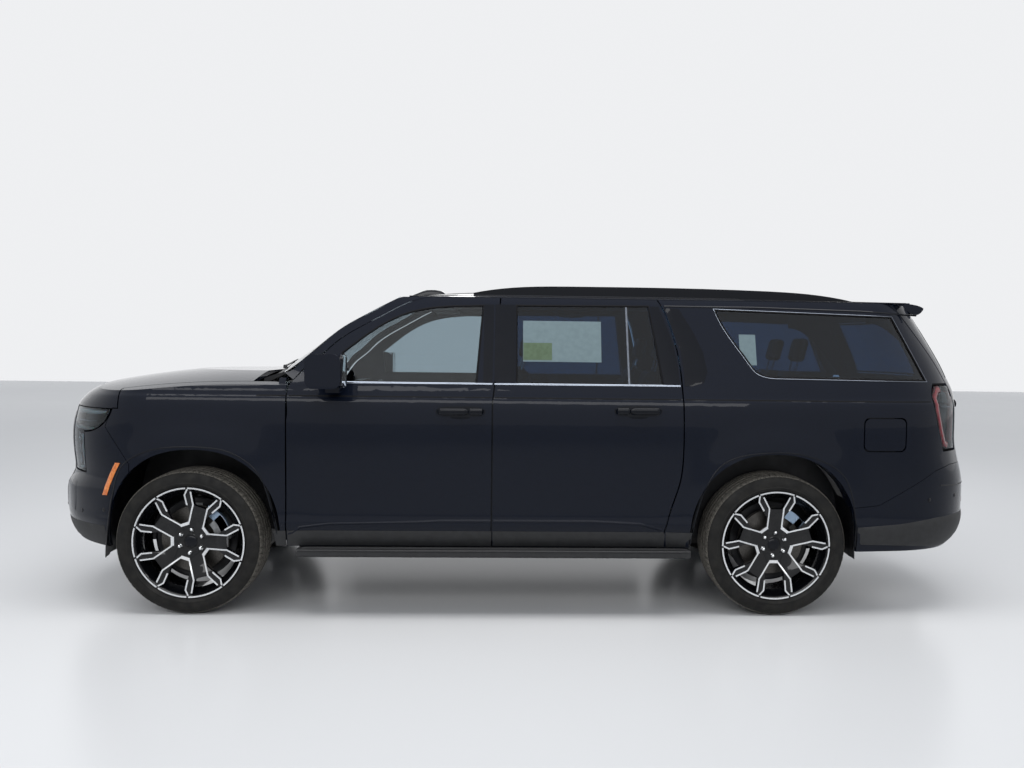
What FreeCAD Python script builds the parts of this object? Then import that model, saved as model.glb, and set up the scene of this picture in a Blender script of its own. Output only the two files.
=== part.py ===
import FreeCAD, Part
import math
import os
from FreeCAD import Vector

# Overall sizes of the vehicle, in mm: x runs rearward, y to its right, z up
length = 5748.0
half_body = 1012.0
flare_depth = 18.0
roof_height = 1912.0
door_top = 1853.0
wheelbase = 3406.0
front_overhang = 985.0
half_length = length / 2
nose_x = -half_length
tail_x = half_length
front_axle = nose_x + front_overhang
rear_axle = front_axle + wheelbase

# Tyres, wheels and brakes
tyre_radius = 418.8
tyre_width = 285.0
rim_radius = 322.0
rim_width = 262.0
bead_radius = 304.0
bead_run = 14.0
flange_run = 8.0
barrel_wall = 9.0
track = 1731.0
hub_radius = 88.0
hub_recess = 46.0
hub_length = 44.0
spoke_count = 5
spoke_depth = 28.0
spoke_recess = 12.0
rear_spoke_turn = 18.0
disc_radius = 195.0
disc_thickness = 30.0
disc_offset = 30.0
spindle_radius = 30.0
running_clearance = 0.05
kingpin_inset = 75.0
kingpin_radius = 16.0
kingpin_top = 246.0
kingpin_foot = 172.0
arm_thick = 34.0
wheel_y = track / 2
kingpin_y = wheel_y - kingpin_inset
cup_face = spoke_recess - rim_width / 2
hub_front = hub_recess - rim_width / 2
hub_back = hub_front + hub_length
disc_near = hub_back + disc_offset
disc_far = disc_near + disc_thickness
spindle_tip = hub_front + 24.0

# Wheel arches
arch_reach = 497.0
arch_rise = 541.0
arch_squareness_share = 2.25
front_arch_shift = 33.0
rear_arch_shift = -21.0
front_arch_x = front_axle + front_arch_shift
rear_arch_x = rear_axle + rear_arch_shift
wheelhouse_width = 360.0
wheelhouse_gap = 20.0

# Body side: heights, gaps and thicknesses
panel_gap = 8.0
fit_gap = 0.3
skin = 12.0
door_depth = 108.0
frame_depth = 50.0
edge_setback = 20.0
pillar_setback = 50.0
door_bottom = 404.0
sill_top = 585.0
sill_bottom = 430.0
sill_plane = 890.0
belt_z = 1350.0
axle_to_door = 563.0
front_door_length = 1176.0
rear_door_length = 1100.0
door_front = front_axle + axle_to_door
door_split = door_front + front_door_length
door_back = door_split + rear_door_length
hinge_setback = 30.0
hinge_depth = 12.0
split_lean = 40.0
pillar_half = 40.0
pillar_run = 760.0
glass_thickness = 5.0
glass_inset = 5.0
glass_sill = 1354.0
glass_top = 1806.0
quarter_run = 0.7796 * (tail_x - door_back)
pillar_width = 84.0
overrun = 200.0

# Hood, roof, nose and tail
nose_reach = 774.0
tail_reach = 774.0
corner_front = half_length - nose_reach
corner_rear = half_length - tail_reach
hood_back = front_axle + 344.0
hood_top = 1426.0
hood_drop = 165.0
hood_side = 880.0
hood_wrap = nose_x + 584.0
hood_lip = 1190.0
hood_crown = 78.0
hood_thickness = 28.0
lip_gap = 6.0
fender_thickness = 25.0
bumper_thickness = 30.0
roof_thickness = 26.0
roof_lip = 5.0
roof_half = 780.0
roof_back = tail_x - 489.0
roof_fall = 46.0
cowl_x = front_axle + 409.0
cowl_z = 1432.0
header_x = front_axle + 1189.0
header_z = 1868.0
screen_bow = 28.0
bumper_top = 892.0
bumper_low = 385.0
gate_half = 760.0
gate_thickness = 70.0
gate_glass_rim = 60.0
gate_glass_lean = 80.0
gate_glass_low = 1402.0
gate_glass_high = 1772.0
lamp_depth = 90.0
lamp_gap = 3.0
split_gap = 4.0
grille_half = 610.0
grille_low = 560.0
grille_high = 1150.0
grille_rim = 30.0
slat_count = 6
slat_height = 34.0
horn_length = 100.0
horn_half = 40.0
horn_low = 475.0
horn_height = 75.0
spoiler_half = 620.0
spoiler_root_setback = 477.0
spoiler_tip = tail_x - 299.0
spoiler_round = 3300.0

# Fuel filler flap
fuel_front = tail_x - 856.0
fuel_back = tail_x - 610.0
fuel_low = 985.0
fuel_high = 1172.0
fuel_round = 34.0
fuel_gap = 7.0
fuel_flap = 8.0
fuel_pocket = 46.0

# Ladder frame and hitch
rail_height = 150.0
rail_width = 80.0
rail_z = 480.0
rail_y = 410.0
rail_front = nose_x + 190.0
rail_back = tail_x - 150.0
kick_height = 120.0
post_half = 120.0
pad_half = 30.0
cross_half = 45.0
cross_low = 50.0
cross_high = 40.0
hitch_outer = 63.5
hitch_bore = 50.8
hitch_z = 352.0
hitch_setback = 30.0
hitch_length = 330.0
hitch_depth = 250.0
hitch_pin_radius = 8.0
hitch_pin_setback = 62.0
hitch_end = tail_x - hitch_setback
arm_root_y = rail_y + rail_width / 2 + fit_gap

# Floor
floor_top = 580.0
floor_thickness = 40.0
rear_floor_top = 700.0
rear_floor_x = rear_axle - 677.0
rear_floor_thickness = 20.0
rear_floor_low = rear_floor_top - rear_floor_thickness
load_floor_setback = 574.0
floor_end = tail_x - 314.0
toe_x = front_axle + 510.0
toe_height = 910.0
firewall_x = front_axle + 389.0
firewall_half = 860.0
wall_sheet = 30.0
floor_half = sill_plane - fit_gap
tunnel_half = 150.0
tunnel_height = 110.0
tunnel_end = front_axle + 2189.0
cowl_low = 1250.0
cowl_high = 1320.0
cowl_depth = 150.0

# Engine, driveline and exhaust
engine_front = front_axle - 401.0
engine_length = 700.0
engine_half = 300.0
engine_low = 600.0
engine_high = 1120.0
engine_chamfer = 60.0
axle_shaft_radius = 23.0
drive_shaft_z = 509.0
pipe_radius = 32.0
pipe_length = 2550.0
pipe_y = 210.0
muffler_x = front_axle + 2269.0
muffler_length = 520.0
muffler_half = 120.0

# Suspension and steering rack
low_arm_drop = 140.0
low_arm_reach = 190.0
high_arm_rise = 215.0
high_arm_reach = 120.0
strut_radius = 46.0
strut_y = 545.0
spring_length = 190.0
spring_back = 120.0
rack_ahead = 160.0
rack_width = 60.0
rack_half = 560.0
case_half = 110.0
rear_plate_reach = 380.0
steer_arm_length = 150.0
upright_half = 32.0
upright_drop = 130.0
upright_rise = 205.0
caliper_cheek = 44.0
caliper_rise = 24.0

# Outside fittings: mirrors, steps and roof rails
mirror_x = door_front + 152.0
mirror_length = 194.0
mirror_near = 1030.0
mirror_far = 1240.0
mirror_low = 1322.0
mirror_high = 1512.0
mirror_round = 45.0
board_x = door_front + 64.0
board_length = 2262.0
board_near = 905.0
board_far = 1062.0
board_top = 398.0
board_thick = 46.0
rack_front = front_axle + 1609.0
rack_length = 2370.0
rack_y = 668.0
rack_wide = 38.0
rack_rise = 24.0
rack_sink = 34.0

# Seats, dashboard and steering
seat_y = 435.0
seat_width = 520.0
seat_length = 520.0
cushion_low = 180.0
cushion_high = 330.0
backrest = 600.0
backrest_thick = 130.0
seat_lean = 14.0
seat_round = 40.0
headrest_thick = 80.0
headrest_height = 180.0
front_seat_x = front_axle + 1249.0
second_seat_x = front_axle + 2089.0
third_seat_x = rear_axle - 337.0
third_seat_y = 260.0
third_seat_width = 480.0
dash_front = firewall_x + cowl_depth + lip_gap
dash_depth = 334.0
dash_low = 930.0
dash_high = 1290.0
screen_half = 190.0
console_half = 155.0
console_length = 1040.0
steering_x = front_axle + 1089.0
steering_y = 400.0
steering_z = 1165.0
steering_axis = Vector(0.906, 0, 0.423)
steering_hub = Vector(steering_x, -steering_y, steering_z)
steering_radius = 185.0
steering_rim = 16.0
column_radius = 36.0
column_length = 250.0
column_reach = 290.0
shaft_radius = 12.0
shaft_length = 70.0
shaft_reach = 120.0

# Skin rows: height as a share of the doors' top, then half width, nose reach and tail reach as shares
skin_row_shares = [
    (0.1079, 0.919, 0.594, 0.646),
    (0.1619, 0.944, 0.762, 0.775),
    (0.2050, 0.966, 0.898, 0.866),
    (0.2374, 0.980, 0.960, 0.963),
    (0.2752, 0.994, 0.982, 0.990),
    (0.2941, 0.998, 0.990, 0.996),
    (0.3049, 0.992, 0.994, 0.998),
    (0.3238, 0.989, 0.997, 0.999),
    (0.3778, 0.991, 1.000, 1.000),
    (0.3993, 0.993, 0.969, 0.997),
    (0.4264, 0.995, 0.904, 0.994),
    (0.4750, 0.998, 0.930, 0.959),
    (0.5397, 1.001, 0.938, 0.908),
    (0.5883, 1.001, 0.925, 0.908),
    (0.6152, 1.000, 0.898, 0.908),
    (0.6422, 0.997, 0.885, 0.908),
    (0.6594, 0.994, 0.846, 0.907),
    (0.6746, 0.989, 0.804, 0.906),
    (0.6810, 0.985, 0.784, 0.906),
    (0.6881, 0.973, 0.760, 0.905),
    (0.7015, 0.964, 0.698, 0.903),
    (0.7286, 0.949, 0.517, 0.885),
    (0.7555, 0.930, 0.258, 0.849),
    (0.8041, 0.900, 0.250, 0.801),
    (0.8856, 0.851, 0.250, 0.674),
    (0.9622, 0.805, 0.250, 0.547),
    (0.9876, 0.790, 0.250, 0.508),
    (1.0026, 0.776, 0.250, 0.484),
]
coarse_row_shares = [0, 2, 4, 6, 8, 11, 14, 17, 19, 21, 23, 24, 25, 26, 27]
nose_row_shares = list(range(23))
nose_power_share = 2.0
nose_round_share = 2.38
tail_power_share = 2.3
tail_round_share = 3.46
nose_end_share = 0.2
tail_start_share = 0.8
nose_shares = [0.34, 0.31, 0.28, 0.255, 0.235, 0.22, 0.205, 0.19, 0.175, 0.16, 0.145,
               0.13, 0.115, 0.10, 0.085, 0.07, 0.055, 0.04, 0.025, 0.01]
tail_shares = [0.74, 0.77, 0.79, 0.80, 0.81, 0.825, 0.84, 0.855, 0.87, 0.885, 0.90, 0.92, 0.94, 0.96, 0.98, 0.994]

# Outlines in the side view, as shares of the door runs and heights
pillar_curve_shares = [(0.0, -0.43), (0.0, -0.198), (0.0066, -0.057), (0.058, 0.055), (0.122, 0.166), (0.216, 0.279),
                       (0.333, 0.442), (0.547, 0.657), (0.708, 0.79), (0.847, 0.905), (1.08, 1.0)]
back_curve_shares = [(-0.123, 0.0), (-0.09, 0.07), (-0.05, 0.175), (-0.011, 0.273), (0.0, 0.342), (0.002, 0.478),
                     (-0.002, 0.605), (-0.005, 0.664), (-0.025, 0.795), (-0.064, 0.907), (-0.1, 0.974), (-0.121, 1.0)]
front_glass_shares = [(-0.743, 0.363), (-0.646, 0.562), (-0.543, 0.746), (-0.438, 0.876), (-0.334, 0.945),
                      (-0.230, 0.976), (-0.058, 0.994)]
rear_glass_shares = [(0.124, 0.0), (0.122, 1.0), (0.829, 1.013), (0.896, 0.0)]
quarter_front_shares = [(0.145, 0.978), (0.207, 0.591), (0.263, 0.334), (0.297, 0.179), (0.333, 0.130), (0.38, 0.115)]
quarter_end_shares = [(0.978, 0.095), (0.857, 0.911)]

# Ladder frame, as shares of the wheelbase behind the front axle and of the rail's height
rail_shares = [(-0.1527, 0.4), (-0.0881, 0.4), (0.1233, 0.1333), (0.1585, -0.2667), (0.7945, -0.2667),
               (0.8884, 0.8), (1.0969, 0.8), (1.182, 0.1333)]
cross_shares = [(-0.0705, -0.1333), (0.0763, -0.1333), (0.3491, -0.2667), (0.628, -0.2667),
                (0.9031, 0.6667), (1.0881, 0.6667)]
floor_pad_shares = [(0.2082, 0.1333), (0.4372, 0.1333), (0.672, 0.1333)]
rear_pad_shares = [(1.0, 1.1333), (1.2446, 0.5333)]

# Spoke in the wheel's face, as shares of the rim's radius
spoke_shares = [(0.186, 0.130), (0.674, 0.130), (0.885, 0.298), (1.0, 0.298), (1.0, 0.180), (0.919, 0.180), (0.702, 0.0)]

# Dashboard in the side view, as shares of its depth and height
dash_front_shares = [(0.0, 0.0), (0.0, 0.875)]
dash_top_shares = [(0.0, 0.875), (0.3195, 1.0), (0.793, 0.958), (1.0, 0.806)]
dash_back_shares = [(1.0, 0.806), (0.941, 0.361), (0.734, 0.028)]

# Outlines in the side view, as shares of the nose's or tail's reach and of the doors' top
front_split_shares = [(0.8514, 0.4706), (0.7416, 0.5316), (0.6486, 0.5828)]
headlamp_shares = [(0.7132, 0.6400), (0.6835, 0.6152), (0.6318, 0.5909), (0.5478, 0.5710), (0.4315, 0.5613),
                   (0.4380, 0.4317)]
tail_lamp_shares = [(0.5168, 0.7437), (0.5426, 0.7134), (0.5297, 0.6600), (0.4871, 0.5963),
                    (0.4315, 0.5246)]
rear_bumper_shares = [(1.2584, 0.3454), (0.9742, 0.3562), (0.5090, 0.4641), (0.3540, 0.4814)]
spoiler_top_shares = [(0.6163, 1.0059), (0.5736, 1.0054), (0.5090, 1.0032), (0.4380, 0.9995),
                      (0.3863, 0.9919)]
spoiler_low_shares = [(0.6163, 0.9919), (0.5607, 0.9757), (0.4832, 0.9638), (0.4186, 0.9714),
                      (0.3863, 0.9865)]


def spread(first, last, count):
    """Evenly spaced values from first to last."""
    return [first + (last - first) * i / (count - 1) for i in range(count)]


def nose_spots(shares):
    """Side-view places behind the nose, from shares of the nose's reach and of the doors' top."""
    return [(nose_x + x * nose_reach, z * door_top) for x, z in shares]


def tail_spots(shares):
    """Side-view places ahead of the tail, from shares of the tail's reach and of the doors' top."""
    return [(tail_x - x * tail_reach, z * door_top) for x, z in shares]


def row_value(z, column):
    """Share in one column of the skin rows at a height, between the rows."""
    share = z / door_top
    rows = skin_row_shares
    if share <= rows[0][0]:
        return rows[0][column]
    for low, high in zip(rows, rows[1:]):
        if share <= high[0]:
            part = (share - low[0]) / (high[0] - low[0])
            return low[column] + part * (high[column] - low[column])
    return rows[-1][column]


def smooth_step(value):
    held = max(0.0, min(1.0, value))
    return held * held * (3 - 2 * held)


def flare(x, z):
    """Extra half width of the lips round the wheel arches."""
    total = 0.0
    for centre in (front_arch_x, rear_arch_x):
        reach = math.hypot((x - centre) / arch_reach, (z - tyre_radius) / arch_rise)
        total += flare_depth * smooth_step((1.32 - reach) / 0.28)
    return total


def cabin_taper(x, z):
    """How far the front pillars draw in ahead of the front door's glass."""
    ahead = max(0.0, (door_split - 0.63 * front_door_length - x) / front_door_length)
    return smooth_step((z - belt_z) / frame_depth) * door_depth * 3 * ahead * ahead


def skin_point(s, z):
    """Outer skin at share s of the way from nose to tail, on the left side."""
    base = half_body * row_value(z, 1)
    if s < nose_end_share:
        turn = math.pi / 2 * (1 - s / nose_end_share)
        x = -corner_front - nose_reach * row_value(z, 2) * math.sin(turn) ** (2 / nose_power_share)
        wide = max(math.cos(turn), 0.0) ** (2 / nose_round_share)
    elif s > tail_start_share:
        turn = math.pi / 2 * (s - tail_start_share) / (1 - tail_start_share)
        x = corner_rear + tail_reach * row_value(z, 3) * math.sin(turn) ** (2 / tail_power_share)
        wide = max(math.cos(turn), 0.0) ** (2 / tail_round_share)
    else:
        part = (s - nose_end_share) / (tail_start_share - nose_end_share)
        x = -corner_front + part * (corner_front + corner_rear)
        wide = 1.0
    return x, -wide * (base + flare(x, z) - cabin_taper(x, z))


def inset_point(s, z, inset):
    """Skin point moved inward by an inset, square to the plan outline."""
    x, y = skin_point(s, z)
    if nose_end_share <= s <= tail_start_share:
        return Vector(x, y + inset, z)
    step_share = 0.002
    xa, ya = skin_point(max(s - step_share, 0.0), z)
    xb, yb = skin_point(min(s + step_share, 1.0), z)
    size = math.hypot(xb - xa, yb - ya)
    return Vector(x - inset * (yb - ya) / size, y + inset * (xb - xa) / size, z)


def share_at(x):
    """Share of the outline at a place along the straight side."""
    part = (x + corner_front) / (corner_front + corner_rear)
    return nose_end_share + part * (tail_start_share - nose_end_share)


def row_heights(picks):
    rows = [skin_row_shares[i] for i in picks] if picks else skin_row_shares
    return [row[0] * door_top for row in rows]


def smooth_surface(grid):
    """One smooth cubic surface shaped by a grid of points."""
    knots = []
    mults = []
    for count in (len(grid), len(grid[0])):
        knots.append([float(i) for i in range(count - 2)])
        mults.append([4] + [1] * (count - 4) + [4])
    surface = Part.BSplineSurface()
    surface.buildFromPolesMultsKnots(
        grid, mults[0], mults[1], knots[0], knots[1], False, False, 3, 3)
    return surface


def border(surface):
    """The four border edges of a surface, in order round it."""
    u0, u1, v0, v1 = surface.bounds()
    return [surface.uIso(u0).toShape(), surface.vIso(v1).toShape(),
            surface.uIso(u1).toShape(), surface.vIso(v0).toShape()]


def solid_from(faces):
    """Closed solid sewn from faces whose borders meet."""
    compound = Part.makeCompound(faces)
    compound.sewShape(running_clearance / 5)
    solid = Part.Solid(compound.Shells[0])
    if solid.Volume < 0:
        solid.reverse()
    return solid


def sheet(outer_grid, inner_grid):
    """Closed solid between two smooth surfaces."""
    outer = smooth_surface(outer_grid)
    inner = smooth_surface(inner_grid)
    faces = [outer.toShape(), inner.toShape()]
    for one, other in zip(border(outer), border(inner)):
        faces.append(Part.makeRuledSurface(one, other))
    return solid_from(faces)


def wrap_volume(shares, picks, inset, grow=0.0):
    """Solid inside the skin round the nose or the tail, with flat ends."""
    heights = row_heights(picks)
    grid = []
    for i, z in enumerate(heights):
        lift = -grow if i == 0 else grow if i == len(heights) - 1 else 0.0
        half = [inset_point(s, z, inset) for s in shares]
        half = [Vector(p.x, p.y, z + lift) for p in half]
        other = [Vector(p.x, -p.y, p.z) for p in half]
        grid.append(half + list(reversed(other)))
    surface = smooth_surface(grid)
    low, end, high, start = border(surface)
    faces = [surface.toShape()]
    lines = []
    for row in (low, high):
        line = Part.makeLine(row.valueAt(row.FirstParameter), row.valueAt(row.LastParameter))
        faces.append(Part.Face(Part.Wire([row, line])))
        lines.append(line)
    back = Part.Wire(Part.__sortEdges__([start, lines[0], end, lines[1]]))
    faces.append(Part.Face(back))
    return solid_from(faces)


def nose_volume(inset):
    return wrap_volume(nose_shares, nose_row_shares, inset, inset)


def tail_volume(inset):
    return wrap_volume(tail_shares, None, inset, inset)


def wall_depth(z):
    """Full thickness of doors and body side: deep below the belt, slim above."""
    blend = max(0.0, min(1.0, (z - belt_z) / frame_depth))
    return door_depth + (frame_depth - door_depth) * blend


def thick_wall_depth(z):
    return wall_depth(z) + skin


def wall_between(shares, near, far, fine=True):
    """Wall of the left side between two insets, along shares of the outline."""
    depth = far if callable(far) else (lambda z: far)
    thin = not callable(far) and far - near < 2 * skin
    coarse = shares if thin or len(shares) < 10 else shares[::2] + ([] if len(shares) % 2 else shares[-1:])
    outer = [[inset_point(s, z, near) for s in shares] for z in row_heights(None if fine else coarse_row_shares)]
    inner_rows = None if thin and fine else coarse_row_shares
    inner = [[inset_point(s, z, depth(z)) for s in coarse] for z in row_heights(inner_rows)]
    return sheet(outer, inner)


def side_wall(near, far, first, last, columns, fine=True):
    """Wall of the straight left side between two places along the body."""
    return wall_between(spread(share_at(first), share_at(last), columns), near, far, fine)


def outline_face(segments):
    """Flat face in the side view; three or more points make a smooth curve."""
    edges = []
    for points in segments:
        places = [Vector(x, 0, z) for x, z in points]
        if len(places) == 2:
            edges.append(Part.makeLine(places[0], places[1]))
        else:
            curve = Part.BSplineCurve()
            curve.interpolate(places)
            edges.append(curve.toShape())
    return Part.Face(Part.Wire(edges))


def chain(*runs):
    """Join runs of points into closed segments, each starting where the last ended."""
    segments = []
    last = runs[-1][-1]
    for run in runs:
        if math.hypot(run[0][0] - last[0], run[0][1] - last[1]) > fit_gap / 3:
            segments.append([last, run[0]])
        if len(run) > 1:
            segments.append([run[0]] + list(run[1:]))
        last = run[-1]
    return segments


def rect(x0, x1, z0, z1):
    return chain([(x0, z0), (x0, z1)], [(x1, z1), (x1, z0)])


def side_prism(segments, half_from=fit_gap, half_to=None):
    """Side-view outline carried across the left half of the body."""
    reach = half_to or half_body + overrun
    face = outline_face(segments)
    face.translate(Vector(0, -reach, 0))
    return face.extrude(Vector(0, reach - half_from, 0))


def box(x0, x1, y0, y1, z0, z1):
    return Part.makeBox(x1 - x0, y1 - y0, z1 - z0, Vector(x0, y0, z0))


def mid_box(x0, x1, half, z0, z1):
    return box(x0, x1, -half, half, z0, z1)


def post(x, half_x, y0, y1, z0, z1):
    """Block centred on a place along the vehicle."""
    return box(x - half_x, x + half_x, y0, y1, z0, z1)


def rod(radius, reach, start, way):
    return Part.makeCylinder(radius, reach, start, way)


def edges_rounded(shape, radius, axis):
    """Block with the edges along one axis rounded: 0 for x, 1 for y."""
    edges = []
    for edge in shape.Edges:
        reach = (edge.BoundBox.XLength, edge.BoundBox.YLength, edge.BoundBox.ZLength)
        if reach[axis] == max(reach):
            edges.append(edge)
    return shape.makeFillet(radius, edges)


def mirrored(shape):
    """The same shape on the vehicle's right side."""
    return shape.mirror(Vector(0, 0, 0), Vector(0, 1, 0))


def both_sides(shape):
    return Part.makeCompound([shape, mirrored(shape)])


def joined(first, *others):
    return first.fuse(list(others)).removeSplitter()


def largest(shape):
    """The main solid of a cut shape, without what the cuts leave loose."""
    return max(shape.Solids, key=lambda s: s.Volume)


def saved(name, shape):
    """Write one sub-part as its own file."""
    os.makedirs("parts", exist_ok=True)
    shape.exportStep("parts/" + name + ".step")
    print(name, round(shape.Volume / 1e6, 2), shape.isValid(), len(shape.Solids))


def clipped(points, foot, head):
    """Part of a rising line between two heights, with its ends worked out."""
    kept = []
    for (x0, z0), (x1, z1) in zip(points, points[1:]):
        for z in (foot, head):
            if z0 < z < z1:
                kept.append((x0 + (x1 - x0) * (z - z0) / (z1 - z0), z))
        if foot < z1 < head:
            kept.append((x1, z1))
    if foot <= points[0][1] < head:
        kept.insert(0, points[0])
    if foot < points[-1][1] <= head and kept[-1] != points[-1]:
        kept.append(points[-1])
    return sorted(kept, key=lambda p: p[1])


def shifted(points, across, up):
    return [(x + across, z + up) for x, z in points]


def pillar_line():
    """Front edge of the front door, from the shoulder up to the roof."""
    rise = door_top - belt_z
    return [(door_front + x * pillar_run, belt_z + z * rise) for x, z in pillar_curve_shares]


def pillar_front(width):
    """Windshield side of the front pillar, a width ahead of the door's edge."""
    moved = shifted(pillar_line()[3:], -width * 0.55, width * 0.84)
    foot = (moved[0][0] - width, belt_z + frame_depth)
    return clipped([foot] + moved, belt_z, door_top)


def back_line(shift, foot, head):
    """Rear edge of the rear door, from its foot round the arch to the roof."""
    rise = door_top - door_bottom
    points = [(door_back + x * rear_door_length + shift, door_bottom + z * rise) for x, z in back_curve_shares]
    return clipped(points, foot, head)


def split_line(shift, foot, head):
    """Gap between the doors, from a foot height to a head height."""
    knee = (door_split + shift, belt_z - door_depth)
    bend = (door_split + split_lean * 0.3 + shift, belt_z)
    top = (door_split + split_lean * (head - belt_z) / (door_top - belt_z) + shift, head)
    return [(door_split + shift, foot), knee], [bend, top]


def front_door_outline(front_gap, back_gap, foot, head):
    """Front door between its gaps, foot and head."""
    line = clipped(shifted(pillar_line(), front_gap, -front_gap * 0.4), foot, head)
    lower, upper = split_line(-back_gap, foot, head)
    return chain([(line[0][0], foot)], line, list(reversed(upper)), list(reversed(lower)))


def rear_door_outline(front_gap, back_gap, foot, head):
    """Rear door between its gaps, foot and head."""
    lower, upper = split_line(front_gap, foot, head)
    return chain(lower, upper, list(reversed(back_line(-back_gap, foot, head))))


def glass_line(shares, start, run):
    rise = glass_top - glass_sill
    return [(start + x * run, glass_sill + z * rise) for x, z in shares]


def front_glass(grow=0.0):
    """Front door window: upright front edge, long curved top, straight sill."""
    top = glass_line(front_glass_shares, door_split, front_door_length)
    top = [(x, z + grow) for x, z in top]
    top[0] = (top[0][0] - grow, top[0][1])
    top[-1] = (top[-1][0] + grow, top[-1][1])
    sill_front = (door_split - 0.731 * front_door_length - grow, glass_sill - grow)
    sill_back = (door_split - 0.087 * front_door_length + grow, glass_sill - grow)
    return chain([sill_front], top, [sill_back])


def rear_glass(grow=0.0):
    """Rear door window with its fixed pane."""
    (x0, z0), (x1, z1), (x2, z2), (x3, z3) = glass_line(rear_glass_shares, door_split, rear_door_length)
    return chain([(x0 - grow, z0 - grow), (x1 - grow, z1 + grow)], [(x2 + grow, z2 + grow), (x3 + grow, z3 - grow)])


def quarter_glass(grow=0.0):
    """Long rear side window with its swept front corner."""
    front = glass_line(quarter_front_shares, door_back, quarter_run)
    front = [(x - grow, z - grow * 0.5) for x, z in front]
    front[0] = (front[0][0], front[0][1] + grow * 1.5)
    (x1, z1), (x2, z2) = glass_line(quarter_end_shares, door_back, quarter_run)
    return chain(front, [(x1 + grow, z1 - grow), (x2 + grow, z2 + grow)])


def arch_outline(centre_x, grow=0.0):
    """Opening of a wheel arch in the side view, down past the sill."""
    points = []
    power = 2 / arch_squareness_share
    for turn in spread(math.pi, 0.0, 13):
        across = math.copysign(abs(math.cos(turn)) ** power, math.cos(turn))
        up = max(math.sin(turn), 0.0) ** power
        points.append((centre_x + (arch_reach + grow) * across, tyre_radius + (arch_rise + grow) * up))
    return chain([(points[0][0], 0.0)], points, [(points[-1][0], 0.0)])


def hood_z(x, y):
    """Height of the hood's and fenders' top surface."""
    back = max((x - hood_back) / (nose_x - hood_back), 0.0)
    return hood_top - hood_drop * back ** 2.1 - hood_crown * (abs(y) / hood_side) ** 2.2


def above_hood(drop=0.0):
    """Everything above the hood's surface, as a cutter."""
    xs = spread(nose_x - overrun, hood_back + 2 * overrun, 21)
    ys = spread(-half_body - overrun / 2, half_body + overrun / 2, 23)
    grid = [[Vector(x, y, hood_z(x, y) - drop) for y in ys] for x in xs]
    return smooth_surface(grid).toShape().extrude(Vector(0, 0, door_top))


def door(outline, inner_outline, window):
    """A door: outer skin out to its gaps, and an inner panel drawn back from them."""
    first = min(p[0] for run in outline for p in run) - edge_setback * 2
    last = max(p[0] for run in outline for p in run) + edge_setback * 2
    outer = side_wall(0.0, skin, first, last, 15).common(side_prism(outline))
    inner = side_wall(skin / 2, wall_depth, first, last, 9).common(side_prism(inner_outline))
    return outer.fuse(inner).cut(side_prism(window))


def front_door():
    outline = front_door_outline(0.0, panel_gap, door_bottom, door_top)
    inner = front_door_outline(edge_setback, panel_gap + pillar_setback, sill_top + edge_setback,
                               door_top - edge_setback)
    return door(outline, inner, front_glass())


def rear_door():
    outline = rear_door_outline(0.0, 0.0, door_bottom, door_top)
    inner = rear_door_outline(pillar_setback, edge_setback, sill_top + edge_setback, door_top - edge_setback)
    return door(outline, inner, rear_glass())


def pane(outline, first, last):
    """Glass that follows the skin inside a window opening."""
    wall = wall_between(spread(share_at(first), share_at(last), 9), glass_inset, glass_inset + glass_thickness)
    return wall.common(side_prism(outline))


def lamp_outline(grow=0.0):
    """Tail lamp in the side view: tall, with a swept front edge."""
    front = [(x - grow, z) for x, z in tail_spots(tail_lamp_shares)]
    front[0] = (front[0][0], front[0][1] + grow)
    front[-1] = (front[-1][0], front[-1][1] - grow)
    return chain(front, [(tail_x + overrun, front[-1][1]), (tail_x + overrun, front[0][1])])


def rear_bumper_outline(grow=0.0):
    """Rear bumper in the side view, up to its split from the quarter panel."""
    front, knee, rise, shoulder = shifted(tail_spots(rear_bumper_shares), 0.0, grow)
    far = tail_x + overrun
    return chain([(front[0], 0.0), front], [knee], [rise], [shoulder], [(far, shoulder[1]), (far, 0.0)])


def hinge_well(front_edge):
    """Room in the sill for the door's front edge, which swings in as the door opens."""
    return box(front_edge - edge_setback, front_edge + hinge_setback + pillar_setback,
               -half_body - overrun, -half_body + hinge_depth + 1.5 * hinge_setback, 0.0, sill_top + pillar_half)


def front_pillar():
    """Sloping pillar between the front door and the windshield."""
    foot = belt_z + skin
    base = door_front - pillar_run / 4 - pillar_width
    wall = side_wall(0.0, frame_depth + skin, base, door_front + pillar_run * 0.9 + 3 * pillar_width, 16)
    gap = clipped(shifted(pillar_line(), -panel_gap, 0.0), foot, door_top)
    ahead = clipped(pillar_front(pillar_width / 2 + panel_gap), foot, door_top)
    return wall.common(side_prism(chain(gap, list(reversed(ahead)))))


def centre_pillar():
    """Pillar behind the gap between the doors."""
    near = frame_depth + lip_gap
    wall = side_wall(near, door_depth, door_split - 3 * pillar_half, door_split + 3 * pillar_half, 6, False)
    lower, upper = split_line(-pillar_half, sill_top - skin, door_top)
    lower_b, upper_b = split_line(pillar_half, sill_top - skin, door_top)
    return wall.common(side_prism(chain(lower, upper, list(reversed(upper_b)), list(reversed(lower_b)))))


def quarter_panel(arch):
    """Rear quarter with its window opening, cut away for lamp, bumper and liftgate."""
    shares = spread(share_at(door_back - overrun), tail_start_share, 14) + tail_shares[4:12]
    wall = wall_between(shares, 0.0, thick_wall_depth)
    edge = back_line(panel_gap, door_bottom, door_top)
    wall = wall.common(side_prism(chain(edge, [(tail_x, door_top), (tail_x, door_bottom)])))
    for cut in (arch, side_prism(quarter_glass()), side_prism(lamp_outline(fit_gap)),
                side_prism(rear_bumper_outline(lamp_gap)),
                mid_box(corner_rear, tail_x, gate_half + panel_gap, 0, roof_height)):
        wall = wall.cut(cut)
    return wall


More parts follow.
